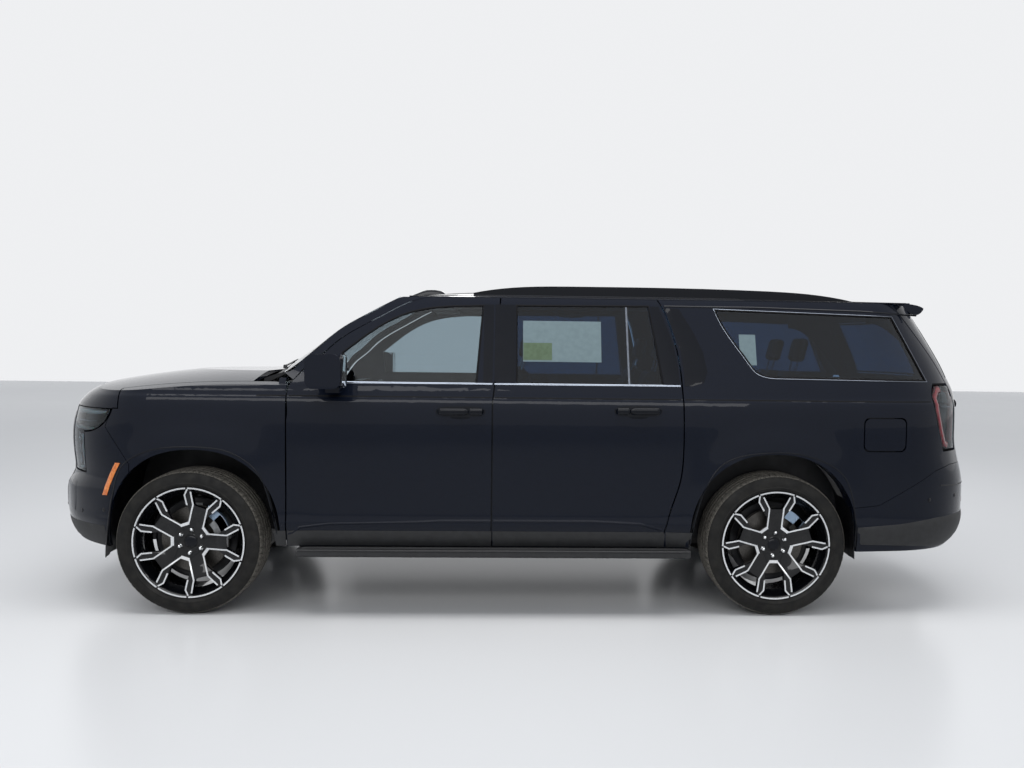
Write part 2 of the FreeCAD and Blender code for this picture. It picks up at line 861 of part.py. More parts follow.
def body_side():
    """Pillars, rocker, roof rail and quarter panel of one side, joined as one."""
    arch = side_prism(arch_outline(rear_arch_x))
    first = door_front - 3 * edge_setback
    last = door_back + pillar_setback
    behind = fender_thickness + fit_gap
    rocker = side_wall(behind, door_depth + skin, first, last, 9, False)
    rocker = rocker.common(side_prism(rect(first + fit_gap, last - fit_gap, sill_bottom, sill_top)))
    hinge = side_wall(behind, door_depth, first, door_front, 6, False)
    hinge = hinge.common(side_prism(rect(first + fit_gap, door_front - edge_setback, sill_bottom, belt_z + edge_setback)))
    rail_first = door_front + pillar_run * 0.9
    rail = side_wall(frame_depth + fit_gap, door_depth, rail_first, door_back + 2 * pillar_setback, 9, False)
    rail = rail.common(side_prism(rect(rail_first + fit_gap, door_back + pillar_setback, glass_top + panel_gap, door_top)))
    tub = mid_box(first, tail_x, sill_plane, 0, rear_floor_top + edge_setback)
    cuts = [arch, side_prism(arch_outline(front_arch_x)), tub, hinge_well(door_front), hinge_well(door_split)]
    shape = joined(quarter_panel(arch), rocker, hinge, centre_pillar(), rail, front_pillar())
    for cut in cuts:
        shape = shape.cut(cut)
    return shape


def roof_crown(x):
    """Height of the roof along its middle."""
    level = rear_axle - 0.24 * wheelbase
    ahead = max(0.0, (door_front + 1.48 * pillar_run - x) / (0.68 * pillar_run))
    behind = max(0.0, (x - level) / (roof_back - level))
    return roof_height - roof_fall * (ahead * ahead + behind * behind)


def roof():
    """Crowned roof skin, thinning to its edges over the doors."""
    top, low = [], []
    edge = door_top + fit_gap
    for part in spread(0.0, 1.0, 13):
        upper_row, lower_row = [], []
        for across in spread(-1.0, 1.0, 13):
            bow = across * across
            front = header_x + 2 * screen_bow * bow
            back = roof_back - screen_bow * bow
            x = front + part * (back - front)
            fall = 1 - abs(across) ** 3.5
            crown = roof_crown(x)
            upper_row.append(Vector(x, across * roof_half, edge + roof_lip + (crown - edge - roof_lip) * fall))
            lift = max(crown - edge - roof_thickness, roof_lip / 5)
            lower_row.append(Vector(x, across * roof_half, edge + lift * fall))
        top.append(upper_row)
        low.append(lower_row)
    return sheet(top, low)


def windshield():
    """Curved windshield between the front pillars, from cowl to header."""
    edge = pillar_front(pillar_width / 2 + panel_gap + glass_inset)
    curve = Part.BSplineCurve()
    curve.interpolate([Vector(x, 0, z) for x, z in edge])
    grid = []
    for part in spread(0.0, 1.0, 9):
        side = curve.value(curve.FirstParameter + part * (curve.LastParameter - curve.FirstParameter))
        middle_x = cowl_x + (header_x - pillar_width / 4 - cowl_x) * part
        middle_z = cowl_z + (header_z - cowl_z) * part + 4 * screen_bow * part * (1 - part)
        half = -inset_point(share_at(side.x), side.z, skin + fit_gap).y
        row = []
        for across in spread(-1.0, 1.0, 11):
            bow = across * across
            row.append(Vector(middle_x + (side.x - middle_x) * bow, half * across, middle_z + (side.z - middle_z) * bow))
        grid.append(row)
    back = Vector(glass_thickness / 2, 0, -glass_thickness)
    inner = [[p + back for p in row] for row in grid]
    return sheet(grid, inner)

def front_split(grow=0.0):
    """Split between front bumper and fender in the side view, as a region ahead of it."""
    line = shifted(nose_spots(front_split_shares), -grow, 0.0)
    ahead = nose_x - overrun
    head = (nose_x + 0.713 * nose_reach - grow, hood_lip)
    return chain([(line[0][0], 0.0), line[0]], line, [line[-1], head], [(ahead, hood_lip), (ahead, 0.0)])


def headlamp_outline(grow=0.0):
    """Headlamp housing in the side view: slim upper lamp over a tall lower one."""
    line = shifted(nose_spots(headlamp_shares), grow, -grow)
    line[0] = (line[0][0], line[0][1] + grow)
    foot = [line[-1], (nose_x - overrun, line[-1][1])]
    return chain(line[:-1], foot, [(nose_x - overrun, line[0][1])])


def hood(wall, layer):
    """Hood with its lip wrapped over the nose."""
    nose = mid_box(nose_x - overrun, hood_wrap, half_body + overrun, hood_lip, roof_height)
    behind = mid_box(hood_wrap - fit_gap, hood_back, hood_side, hood_lip, roof_height)
    return joined(layer.common(nose.fuse(behind)), wall.common(nose))


def fender(wall, layer):
    """Left front fender between bumper, hood and door, with its wheel arch."""
    far = half_body + overrun
    side = wall.common(side_prism(rect(nose_x, door_front - panel_gap, door_bottom, roof_height)))
    side = side.common(box(nose_x, tail_x, -far, -fit_gap, 0, roof_height))
    top = layer.common(box(hood_wrap, door_front - panel_gap, -far, -hood_side, hood_lip, roof_height))
    over = mid_box(nose_x - overrun, hood_back + overrun, hood_side + panel_gap, hood_lip - lip_gap, roof_height)
    lip = mid_box(nose_x - overrun, hood_wrap + panel_gap, far, hood_lip - lip_gap, roof_height)
    shape = joined(side, top)
    for cut in (side_prism(arch_outline(front_arch_x)), over, lip, side_prism(front_split(-split_gap)),
                side_prism(headlamp_outline(split_gap))):
        shape = shape.cut(cut)
    return largest(shape)


def front_bumper(wall):
    """Front bumper with its openings for grille and lamps, and horns to the rails."""
    split = both_sides(side_prism(front_split()))
    centre = mid_box(nose_x - overrun, -corner_front, overrun, 0.0, hood_lip - lip_gap)
    shape = wall.common(split.fuse(centre))
    opening = mid_box(nose_x - overrun, -corner_front, grille_half, grille_low, grille_high)
    lamps = both_sides(side_prism(headlamp_outline(lamp_gap), grille_half + grille_rim - split_gap))
    below = mid_box(nose_x - overrun, tail_x, half_body + overrun, 0, bumper_low)
    for cut in (both_sides(side_prism(arch_outline(front_arch_x))), opening, lamps, below):
        shape = shape.cut(cut)
    horn = box(rail_front - horn_length, rail_front - fit_gap, -rail_y - horn_half, -rail_y + horn_half,
               horn_low, horn_low + horn_height)
    return joined(largest(shape), horn, mirrored(horn))


def headlamps(deep):
    """Headlamp housings, deeper than the bumper's skin."""
    lamps = both_sides(side_prism(headlamp_outline(), grille_half + grille_rim))
    return deep.common(lamps).cut(mid_box(nose_x - overrun, tail_x, half_body, hood_lip - lamp_gap, roof_height))


def grille(deep, wall):
    """Grille between the lamps, with slots sunk between its slats."""
    shape = deep.common(mid_box(nose_x - overrun, -corner_front, grille_half - fit_gap, grille_low + fit_gap,
                                grille_high - fit_gap))
    pitch = (grille_high - grille_low - 2 * grille_rim) / slat_count
    for i in range(slat_count):
        foot = grille_low + grille_rim + pitch * (i + 0.5) - slat_height / 2
        slot = mid_box(nose_x - overrun, -corner_front, grille_half - grille_rim, foot, foot + slat_height)
        shape = shape.cut(wall.common(slot))
    return shape


def nose_parts():
    """Hood, fender, bumper, headlamps and grille, cut from the one nose."""
    cutter = above_hood()
    outer = nose_volume(0.0)
    wall = outer.cut(nose_volume(bumper_thickness)).cut(cutter)
    layer = outer.cut(cutter).common(above_hood(hood_thickness))
    deep = outer.cut(nose_volume(2 * bumper_thickness)).cut(cutter)
    return {"hood": hood(wall, layer), "fender_left": fender(wall, layer), "front_bumper": front_bumper(wall),
            "headlamps": headlamps(deep), "grille": grille(deep, wall)}


def spoiler():
    """Roof spoiler on the liftgate's top edge, its trailing edge bowed in plan."""
    root = tail_x - spoiler_root_setback
    columns = spread(-spoiler_half, spoiler_half, 9)
    faces = []
    for shares in (spoiler_top_shares, spoiler_low_shares):
        grid = []
        for x, z in tail_spots(shares):
            bow = (x - root) / (spoiler_tip - root) / (2 * spoiler_round)
            grid.append([Vector(x - y * y * bow, y, z) for y in columns])
        faces.append(grid)
    return sheet(faces[0], faces[1])


def gate_window(grow=0.0):
    """Opening of the rear window, seen from behind, as a prism along x."""
    low = gate_half - gate_glass_rim + grow
    high = gate_half - gate_glass_rim - gate_glass_lean + grow
    foot, head = gate_glass_low - grow, gate_glass_high + grow
    corners = [Vector(corner_rear, y, z) for y, z in ((-low, foot), (-high, head), (high, head), (low, foot))]
    return Part.Face(Part.makePolygon(corners + corners[:1])).extrude(Vector(tail_reach, 0, 0))


def rear_bumper(outer):
    """Rear bumper round the tail, with horns to the rails."""
    shape = outer.cut(tail_volume(2 * bumper_thickness))
    sides = both_sides(side_prism(rear_bumper_outline()))
    middle = mid_box(corner_rear + 2 * overrun, tail_x, overrun, 0.0, bumper_top)
    shape = shape.common(sides.fuse(middle))
    for cut in (both_sides(side_prism(arch_outline(rear_arch_x))),
                mid_box(0, tail_x, half_body + overrun, 0, bumper_low),
                mid_box(corner_rear, tail_x, gate_half + panel_gap, bumper_top, roof_height)):
        shape = shape.cut(cut)
    horn = box(rail_back + fit_gap, rail_back + horn_length, -rail_y - horn_half, -rail_y + horn_half,
               horn_low, horn_low + horn_height)
    return joined(largest(shape), horn, mirrored(horn))


def tail_parts():
    """Liftgate, its glass, the tail lamps and the rear bumper, cut from the one tail."""
    outer = tail_volume(0.0)
    gate = outer.cut(tail_volume(gate_thickness))
    gate = gate.common(box(corner_rear, tail_x, -gate_half, gate_half, bumper_top + panel_gap, door_top - panel_gap))
    gate = joined(gate.cut(gate_window()), spoiler())
    glass = outer.cut(tail_volume(glass_thickness)).common(gate_window(-fit_gap))
    glass.translate(Vector(-glass_inset, 0, 0))
    lamps = outer.cut(tail_volume(lamp_depth)).common(both_sides(side_prism(lamp_outline(), gate_half + panel_gap)))
    return {"liftgate": gate, "rear_glass": glass, "tail_lamps": lamps, "rear_bumper": rear_bumper(outer)}


def bent_bar(points, half_y, height, y):
    """Bar that follows (x, z) points in the side view, at one place across."""
    top = [(x, z + height / 2) for x, z in points]
    low = [(x, z - height / 2) for x, z in reversed(points)]
    segments = [[a, b] for a, b in zip(top + low, (top + low)[1:] + top[:1])]
    face = outline_face(segments)
    face.translate(Vector(0, y - half_y, 0))
    return face.extrude(Vector(0, 2 * half_y, 0))


def frame_spots(shares):
    """Places along the ladder frame: shares of the wheelbase and of the rail's height."""
    return [(front_axle + x * wheelbase, rail_z + z * rail_height) for x, z in shares]


def cross_members():
    """Cross members between the rails, with the engine's two mounting posts."""
    ends = [(rail_front + cross_half, rail_z + kick_height / 2), (rail_back - cross_half, rail_z + edge_setback)]
    places = frame_spots(cross_shares)
    members = []
    for x, z in ends + places:
        members.append(mid_box(x - cross_half, x + cross_half, rail_y - edge_setback, z - cross_low, z + cross_high))
    for x, z in places[:2]:
        members.append(mid_box(x - horn_half, x + horn_half, post_half, z, engine_low - fit_gap))
    return members


def body_mounts():
    """Pads on the rails that carry the floor."""
    pads = []
    for shares, head in ((floor_pad_shares, floor_top - floor_thickness), (rear_pad_shares, rear_floor_low)):
        for x, z in frame_spots(shares):
            pad = post(x, horn_half, -rail_y - pad_half, -rail_y + pad_half, z, head - fit_gap)
            pads += [pad, mirrored(pad)]
    return pads


def hitch():
    """Hitch receiver below the rails' rear ends, its bore and its pin hole."""
    half, hollow = hitch_outer / 2, hitch_bore / 2
    front = hitch_end - hitch_length
    tube = mid_box(front, hitch_end, half, hitch_z - half, hitch_z + half)
    beam = mid_box(front, front + rail_width, rail_y + edge_setback, hitch_z - half + fit_gap, rail_z - edge_setback)
    bore = mid_box(hitch_end - hitch_depth, hitch_end + fit_gap, hollow, hitch_z - hollow, hitch_z + hollow)
    pin = rod(hitch_pin_radius, 2 * hitch_outer, Vector(hitch_end - hitch_pin_setback, -hitch_outer, hitch_z),
              Vector(0, 1, 0))
    return joined(tube, beam), bore.fuse(pin)


def chassis_frame():
    """Ladder frame: two boxed rails with kick-ups, cross members and a hitch receiver."""
    path = [(rail_front, rail_z + kick_height / 2)] + frame_spots(rail_shares)
    rail = bent_bar(path + [(rail_back, rail_z + edge_setback)], rail_width / 2, rail_height, -rail_y)
    receiver, bores = hitch()
    return joined(rail, mirrored(rail), receiver, *(cross_members() + body_mounts())).cut(bores)


def wheelhouse(grow, inset, reach):
    """Domes over both rear wheels."""
    dome = side_prism(arch_outline(rear_arch_x, grow), half_body - wheelhouse_width + inset, reach)
    return dome.fuse(mirrored(dome))


def floor_pan():
    """Floor with its step up over the axle, toe boards, firewall, cowl and rear wheelhouses."""
    low = floor_top - floor_thickness
    step = rear_floor_x - wall_sheet
    toe_back = toe_x + wall_sheet
    wall_front = firewall_x - wall_sheet
    shape = joined(
        mid_box(toe_x, rear_floor_x, floor_half, low, floor_top),
        mid_box(step, rear_floor_x, floor_half, low, rear_floor_top),
        mid_box(step, tail_x - load_floor_setback, floor_half, rear_floor_low, rear_floor_top),
        mid_box(tail_x - load_floor_setback - frame_depth, floor_end, gate_half - gate_glass_rim, rear_floor_low,
                rear_floor_top),
        mid_box(toe_x, tunnel_end, tunnel_half, floor_top - fit_gap, floor_top + tunnel_height),
        mid_box(toe_x, toe_back, floor_half, low, toe_height),
        mid_box(wall_front, toe_back, floor_half - edge_setback, toe_height - rear_floor_thickness, toe_height),
        mid_box(wall_front, firewall_x, firewall_half, toe_height - rear_floor_thickness, cowl_low + wall_sheet),
        mid_box(wall_front, firewall_x + cowl_depth, firewall_half, cowl_low, cowl_high))
    keep = mid_box(0, tail_x, half_body, rear_floor_low, roof_height)
    house = wheelhouse(2 * wheelhouse_gap, 0.0, floor_half - panel_gap).common(keep)
    return shape.fuse(house).cut(wheelhouse(wheelhouse_gap, wheelhouse_gap, half_body + overrun))


def engine_block():
    """Engine block with its top edges chamfered."""
    block = mid_box(engine_front, engine_front + engine_length, engine_half, engine_low, engine_high)
    edges = [e for e in block.Edges if e.BoundBox.ZMin > engine_high - fit_gap and e.BoundBox.XLength > engine_half]
    return block.makeChamfer(engine_chamfer, edges)


def revolve_y(points):
    """Ring from (radius, across) points, turned about the wheel's own axis."""
    corners = [Vector(r, a, 0) for r, a in points]
    face = Part.Face(Part.makePolygon(corners + corners[:1]))
    return face.revolve(Vector(0, 0, 0), Vector(0, 1, 0), 360)


def tyre():
    """Tyre with its sidewalls, flat tread and a hollow, open at its beads."""
    half = tyre_width / 2
    bead = rim_width / 2 - bead_run - lip_gap
    side = [(bead_radius + fit_gap, -bead), (0.86 * tyre_radius, -half), (tyre_radius, -0.79 * half)]
    other = [(r, -a) for r, a in reversed(side)]
    return revolve_y(side + other + [(0.945 * tyre_radius, 0.0)])


def spoke(turn):
    """One spoke: a body from the hub, split in two prongs out to the rim."""
    low = [(x * rim_radius, -z * rim_radius) for x, z in spoke_shares]
    high = [(x, -z) for x, z in reversed(low[:-1])]
    corners = [Vector(x, cup_face, z) for x, z in low + high]
    face = Part.Face(Part.makePolygon(corners + corners[:1]))
    body = face.extrude(Vector(0, spoke_depth, 0))
    body = body.common(rod(bead_radius - barrel_wall / 2, rim_width, Vector(0, -rim_width, 0), Vector(0, 1, 0)))
    body.rotate(Vector(0, 0, 0), Vector(0, 1, 0), -turn)
    return body


def barrel():
    """Rim barrel with a flange at each side."""
    half = rim_width / 2
    side = [(rim_radius, -half), (rim_radius, -half + flange_run), (bead_radius, -half + bead_run)]
    other = [(r, -a) for r, a in reversed(side)]
    inner = bead_radius - barrel_wall
    return revolve_y(side + other + [(inner, half), (inner, -half)])


def wheel(first_turn):
    """Rim, five spokes, hub and brake disc as one turning piece, outer face at -y."""
    across = Vector(0, 1, 0)
    hub = rod(hub_radius, hub_back - cup_face, Vector(0, cup_face, 0), across)
    carrier = rod(hub_radius - bead_run, disc_far - hub_back + fit_gap, Vector(0, hub_back - fit_gap, 0), across)
    disc = rod(disc_radius, disc_thickness, Vector(0, disc_near, 0), across)
    middle = hub.fuse([carrier, disc, barrel()])
    middle.rotate(Vector(0, 0, 0), across, -first_turn - 180.0 / spoke_count)
    arms = [spoke(first_turn + i * 360.0 / spoke_count) for i in range(spoke_count)]
    dish = rod(hub_radius - bead_run, hub_front - cup_face + fit_gap, Vector(0, cup_face - fit_gap, 0), across)
    bore = rod(spindle_radius + running_clearance, 2 * rim_width, Vector(0, spindle_tip - lip_gap, 0), across)
    return middle.fuse(arms).cut(dish).cut(bore)


def caliper():
    """Brake caliper over the front of the disc."""
    across = Vector(0, 1, 0)
    near = disc_near - caliper_cheek
    reach = disc_thickness + 2 * caliper_cheek
    ring = rod(disc_radius + caliper_rise, reach, Vector(0, near, 0), across)
    ring = ring.cut(rod(0.68 * disc_radius, 3 * reach, Vector(0, near - reach, 0), across))
    slot = rod(disc_radius + lip_gap, disc_thickness + 2 * lip_gap, Vector(0, disc_near - lip_gap, 0), across)
    wide = 2 * disc_radius
    corners = [Vector(0, -wide, 0), Vector(wide, -wide, 0.1 * disc_radius), Vector(wide, -wide, 1.9 * disc_radius)]
    wedge = Part.Face(Part.makePolygon(corners + corners[:1])).extrude(Vector(0, 2 * wide, 0))
    return ring.cut(slot).common(wedge)


def knuckle(steered=True):
    """Knuckle with its spindle and the brake caliper, about the wheel's centre."""
    across = Vector(0, 1, 0)
    face = disc_far + panel_gap
    spindle = rod(spindle_radius, face + panel_gap - spindle_tip, Vector(0, spindle_tip, 0), across)
    plate = rod(0.43 * disc_radius, arm_thick, Vector(0, face, 0), across)
    upright = box(-upright_half, upright_half, face, kingpin_inset + edge_setback, -upright_drop, upright_rise)
    bracket = box(2 * upright_half, 5.3 * upright_half, face, face + upright_half, edge_setback, 0.46 * disc_radius)
    shape = joined(spindle, plate, upright, bracket, caliper())
    if steered:
        arm = box(-steer_arm_length, 0.0, face, face + upright_half, -2.2 * upright_half, -1.2 * upright_half)
        pin = Part.makeCylinder(kingpin_radius, kingpin_top + kingpin_foot, Vector(0, kingpin_inset, -kingpin_foot))
        shape = joined(shape, arm, pin)
    return shape


def placed_wheel(shape, x, side):
    """Wheel piece moved from the origin to its axle, outer face away from the body."""
    moved = shape.copy()
    moved.translate(Vector(x, -wheel_y, tyre_radius))
    return moved if side < 0 else mirrored(moved)


def arm_with_eye(root_y, reach, z, thick):
    """Flat wishbone whose eye turns on the kingpin, left side."""
    eye_radius = 2.5 * kingpin_radius
    eye = Part.makeCylinder(eye_radius, thick, Vector(front_axle, -kingpin_y, z))
    tip = eye_radius - fit_gap
    points = [(-reach, -root_y), (reach, -root_y), (tip, -kingpin_y), (-tip, -kingpin_y)]
    corners = [Vector(front_axle + x, y, z) for x, y in points]
    blade = Part.Face(Part.makePolygon(corners + corners[:1])).extrude(Vector(0, 0, thick))
    hole = Part.makeCylinder(kingpin_radius + running_clearance, 3 * thick, Vector(front_axle, -kingpin_y, z - thick))
    return joined(eye, blade).cut(hole)


def front_suspension():
    """Wishbones, spring struts, steering rack and half shafts of the front axle."""
    low_z = tyre_radius - low_arm_drop - arm_thick
    base = low_z + arm_thick - fit_gap
    high_z = tyre_radius + high_arm_rise
    head = high_z + 0.76 * arm_thick
    reach = 0.56 * arch_reach
    plate = mid_box(front_axle - reach, front_axle + reach, rail_y - edge_setback, low_z, low_z + arm_thick)
    low = arm_with_eye(rail_y - wall_sheet, low_arm_reach, low_z, arm_thick)
    high = arm_with_eye(arm_root_y + edge_setback, high_arm_reach, high_z, 0.76 * arm_thick)
    bracket = post(front_axle, high_arm_reach, -arm_root_y - wall_sheet, -arm_root_y, rail_z, head)
    strut = Part.makeCylinder(strut_radius, high_z - base + lip_gap,
                              Vector(front_axle + 0.7 * high_arm_reach, -strut_y, base))
    side = joined(low, high, bracket, strut)
    posts = []
    for x, z in frame_spots(cross_shares[:2]):
        posts.append(mid_box(x - horn_half, x + horn_half, rail_y - wall_sheet, base, z - cross_low - fit_gap))
    rack = mid_box(front_axle - rack_ahead - rack_width / 2, front_axle - rack_ahead + rack_width / 2, rack_half,
                   base, base + rack_width)
    case = mid_box(front_axle - case_half, front_axle + case_half, 1.5 * case_half, base, tyre_radius + 0.6 * case_half)
    end = kingpin_y - 1.6 * upright_half
    shaft = rod(axle_shaft_radius, 2 * end, Vector(front_axle, -end, tyre_radius), Vector(0, 1, 0))
    return joined(plate, side, mirrored(side), rack, case, shaft, *posts)


def rear_suspension():
    """Rear knuckles, control arms, final drive and half shafts under the rear cross members."""
    z = tyre_radius
    left = placed_wheel(knuckle(False), rear_axle, -1)
    low_z = z - upright_drop
    root = 0.8 * rail_y
    end = kingpin_y + lip_gap
    thick = 1.12 * arm_thick
    plate = mid_box(rear_axle - rear_plate_reach, rear_axle + rear_plate_reach, root, low_z, low_z + thick)
    low = post(rear_axle, low_arm_reach, -end, -root + lip_gap, low_z, low_z + thick)
    high = post(rear_axle, horn_half, -end, -root, z + 2.2 * arm_thick, z + 3 * arm_thick)
    beam = mid_box(rear_axle - 1.5 * horn_half, rear_axle + 1.5 * horn_half, root + edge_setback, z, z + 3 * arm_thick)
    case = mid_box(rear_axle - 1.5 * case_half, rear_axle + 1.5 * case_half, 1.7 * case_half, low_z + thick / 2,
                   z + 3 * arm_thick)
    shaft_end = wheel_y - disc_far - edge_setback
    shaft = rod(axle_shaft_radius, 2 * shaft_end, Vector(rear_axle, -shaft_end, z), Vector(0, 1, 0))
    spring = Part.makeCylinder(strut_radius, spring_length, Vector(rear_axle + spring_back, -strut_y, low_z + thick / 2))
    posts = []
    for x, cross_z in frame_spots(cross_shares[4:]):
        posts.append(mid_box(x - horn_half, x + horn_half, root - wall_sheet, low_z + thick / 2,
                             cross_z - cross_low - fit_gap))
    side = joined(left, low, high, spring)
    return joined(plate, side, mirrored(side), beam, case, shaft, *posts)


def leaned(shape, hinge, lean):
    """A seat piece leaned back about its hinge."""
    shape.rotate(hinge, Vector(0, 1, 0), lean)
    return shape


def seat(x, y, width, base, back_height):
    """One seat: cushion, leaned back and headrest, as soft blocks on a plinth."""
    half = width / 2
    back_x = x + seat_length - 0.4 * backrest_thick
    foot = base + cushion_high - wall_sheet
    head = foot + back_height
    hinge = Vector(back_x, y, foot)
    rest_half = width / 4
    cushion = box(x, x + seat_length, y - half, y + half, base + cushion_low, base + cushion_high)
    plinth = box(x + 0.12 * seat_length, x + 0.88 * seat_length, y - half + seat_round, y + half - seat_round,
                 base + fit_gap, base + cushion_low + lip_gap)
    back = edges_rounded(box(back_x, back_x + backrest_thick, y - half, y + half, foot, head), seat_round, 1)
    rest = box(back_x + edge_setback, back_x + edge_setback + headrest_thick, y - rest_half, y + rest_half,
               head + wall_sheet, head + wall_sheet + headrest_height)
    rest = edges_rounded(rest, wall_sheet, 1)
    stalk = box(back_x + frame_depth, back_x + frame_depth + edge_setback, y - rest_half / 2, y + rest_half / 2,
                head - frame_depth, head + 2 * frame_depth)
    pieces = [leaned(piece, hinge, seat_lean) for piece in (back, rest, stalk)]
    return joined(edges_rounded(cushion, seat_round, 1), plinth, *pieces)


def seat_row(x, y, width, base, back_height):
    return [seat(x, side * y, width, base, back_height) for side in (-1, 1)]


def dash_spots(shares):
    """Places on the dashboard's side view, from its depth and height."""
    rise = dash_high - dash_low
    return [(dash_front + x * dash_depth, dash_low + z * rise) for x, z in shares]


def dashboard():
    """Dashboard with its binnacle, centre screen, console and steering column."""
    front, top, back = (dash_spots(shares) for shares in (dash_front_shares, dash_top_shares, dash_back_shares))
    face = outline_face(chain(front, top, back))
    half = floor_half - 2 * edge_setback
    face.translate(Vector(0, -half, 0))
    body = face.extrude(Vector(0, 2 * half, 0))
    rear = dash_front + dash_depth
    hood_half = steering_radius
    binnacle = box(rear - dash_depth * 0.3, rear + edge_setback, steering_hub.y - hood_half, steering_hub.y + hood_half,
                   dash_high - dash_depth * 0.3, dash_high + panel_gap)
    screen = mid_box(rear - dash_depth * 0.2, rear - edge_setback, screen_half, dash_high - dash_depth * 0.33,
                     dash_high + 2 * edge_setback)
    console_top = dash_low - panel_gap
    console_x = rear - dash_depth / 2
    console = mid_box(console_x, console_x + console_length, console_half, floor_top + tunnel_height + fit_gap, console_top)
    riser = mid_box(console_x, rear - wall_sheet, console_half + panel_gap, console_top - edge_setback,
                    dash_high - dash_depth * 0.56)
    column = rod(column_radius, column_length, steering_hub - steering_axis * column_reach, steering_axis)
    bore = rod(shaft_radius + running_clearance, column_length, steering_hub - steering_axis * shaft_reach, steering_axis)
    return joined(body, binnacle, screen, console, riser, column).cut(bore)


def steering_wheel():
    """Steering wheel: rim, three spokes and hub on the tilted column."""
    up = Vector(-steering_axis.z, 0, steering_axis.x)
    corners = []
    for i in range(6):
        turn = math.pi * i / 3
        place = up * (steering_radius + steering_rim * math.cos(turn)) + steering_axis * (steering_rim * math.sin(turn))
        corners.append(steering_hub + place)
    rim = Part.Face(Part.makePolygon(corners + corners[:1])).revolve(steering_hub, steering_axis, 360)
    hub = rod(steering_radius / 3, 2.6 * steering_rim, steering_hub - steering_axis * (2.25 * steering_rim), steering_axis)
    arms = []
    for across, high in ((-1.0, 0.0), (1.0, 0.0), (0.0, -1.0)):
        along = Vector(0, across, 0) + up * high
        arms.append(rod(0.85 * steering_rim, steering_radius, steering_hub - steering_axis * (steering_rim / 2), along))
    shaft = rod(shaft_radius, shaft_length, steering_hub - steering_axis * (shaft_reach - edge_setback), steering_axis)
    return joined(rim, hub, shaft, *arms)


def mirror():
    """Door mirror: rounded housing on its foot at the door's sail corner, left side."""
    head = box(mirror_x, mirror_x + mirror_length, -mirror_far, -mirror_near, mirror_low, mirror_high)
    head = edges_rounded(head, mirror_round, 1)
    foot_x = mirror_x + 0.4 * mirror_length
    foot = box(foot_x, foot_x + 0.41 * mirror_length, -mirror_near - wall_sheet, -mirror_near + 2 * horn_half,
               mirror_low - wall_sheet, mirror_low + edge_setback)
    return joined(head, foot)


def running_boards():
    """Steps below the doors, each on three brackets from the rail."""
    step = box(board_x, board_x + board_length, -board_far, -board_near, board_top - board_thick, board_top)
    parts = [edges_rounded(step, bead_run, 0)]
    for x in spread(board_x + 0.12 * board_length, board_x + 0.88 * board_length, 3):
        parts.append(post(x, wall_sheet, -board_near - bead_run, -arm_root_y, board_top - 0.6 * board_thick,
                          board_top - lip_gap))
    return both_sides(joined(*parts))


def roof_rail():
    """Raised rail along the left edge of the roof, seated on it."""
    top, low = [], []
    for part in spread(0.0, 1.0, 9):
        x = rack_front + part * rack_length
        drop = roof_fall * abs(2 * part - 1) ** 6
        top.append((x, roof_crown(x) + rack_rise - drop))
        low.append((x, roof_crown(x) - rack_sink))
    face = outline_face([top, [top[-1], low[-1]], list(reversed(low)), [low[0], top[0]]])
    face.translate(Vector(0, -rack_y, 0))
    return face.extrude(Vector(0, rack_wide, 0))


def exhaust():
    """Exhaust pipe and muffler hung under the cross members."""
    z = rail_z - rail_height
    pipe = rod(pipe_radius, pipe_length, Vector(front_axle + 0.82 * arch_reach, pipe_y, z), Vector(1, 0, 0))
    muffler = box(muffler_x, muffler_x + muffler_length, pipe_y - muffler_half, pipe_y + muffler_half,
                  z - 1.4 * pipe_radius, z + 1.7 * pipe_radius)
    hangers = [post(x, shaft_radius, pipe_y - bead_run, pipe_y + bead_run, z, cross_z - cross_low - fit_gap)
               for x, cross_z in frame_spots(cross_shares[2:4])]
    return joined(pipe, edges_rounded(muffler, pipe_radius, 0), *hangers)


def driveline():
    """Transmission and propeller shaft on the centre line."""
    (cross_x, cross_z), _ = frame_spots(cross_shares[2:4])
    end = cross_x - cross_half - fit_gap
    gearbox = mid_box(firewall_x, end, post_half, cross_z, floor_top - floor_thickness - lip_gap)
    shaft_end = frame_spots(cross_shares[4:5])[0][0] - cross_half - fit_gap
    shaft = rod(axle_shaft_radius, shaft_end - end + lip_gap, Vector(end - lip_gap, 0, drive_shaft_z), Vector(1, 0, 0))
    return joined(gearbox, shaft)


def fuel_outline(grow=0.0):
    """Fuel filler flap in the side view, with rounded corners."""
    x0, x1 = fuel_front - grow, fuel_back + grow
    z0, z1 = fuel_low - grow, fuel_high + grow
    r = fuel_round
    bend = 0.3 * r
    return chain([(x0, z0 + r), (x0, z1 - r)], [(x0, z1 - r), (x0 + bend, z1 - bend), (x0 + r, z1)],
                 [(x1 - r, z1), (x1 - bend, z1 - bend), (x1, z1 - r)],
                 [(x1, z0 + r), (x1 - bend, z0 + bend), (x1 - r, z0)],
                 [(x0 + r, z0), (x0 + bend, z0 + bend), (x0, z0 + r)])


def fuel_pieces():
    """Fuel flap, the pocket cut for it and the stop it closes on."""
    shares = spread(share_at(fuel_front - 2 * fuel_round), tail_start_share, 6) + tail_shares[4:8]
    pocket = wall_between(shares, -skin, fuel_pocket).common(side_prism(fuel_outline(fuel_gap)))
    stop = wall_between(shares, fuel_flap + fit_gap, fuel_pocket + skin)
    middle = (fuel_low + fuel_high) / 2
    stop = stop.common(side_prism(rect(fuel_front + panel_gap, fuel_front + fuel_round, middle - fuel_round,
                                       middle + fuel_round)))
    return wall_between(shares, 0.0, fuel_flap).common(side_prism(fuel_outline())), pocket, stop


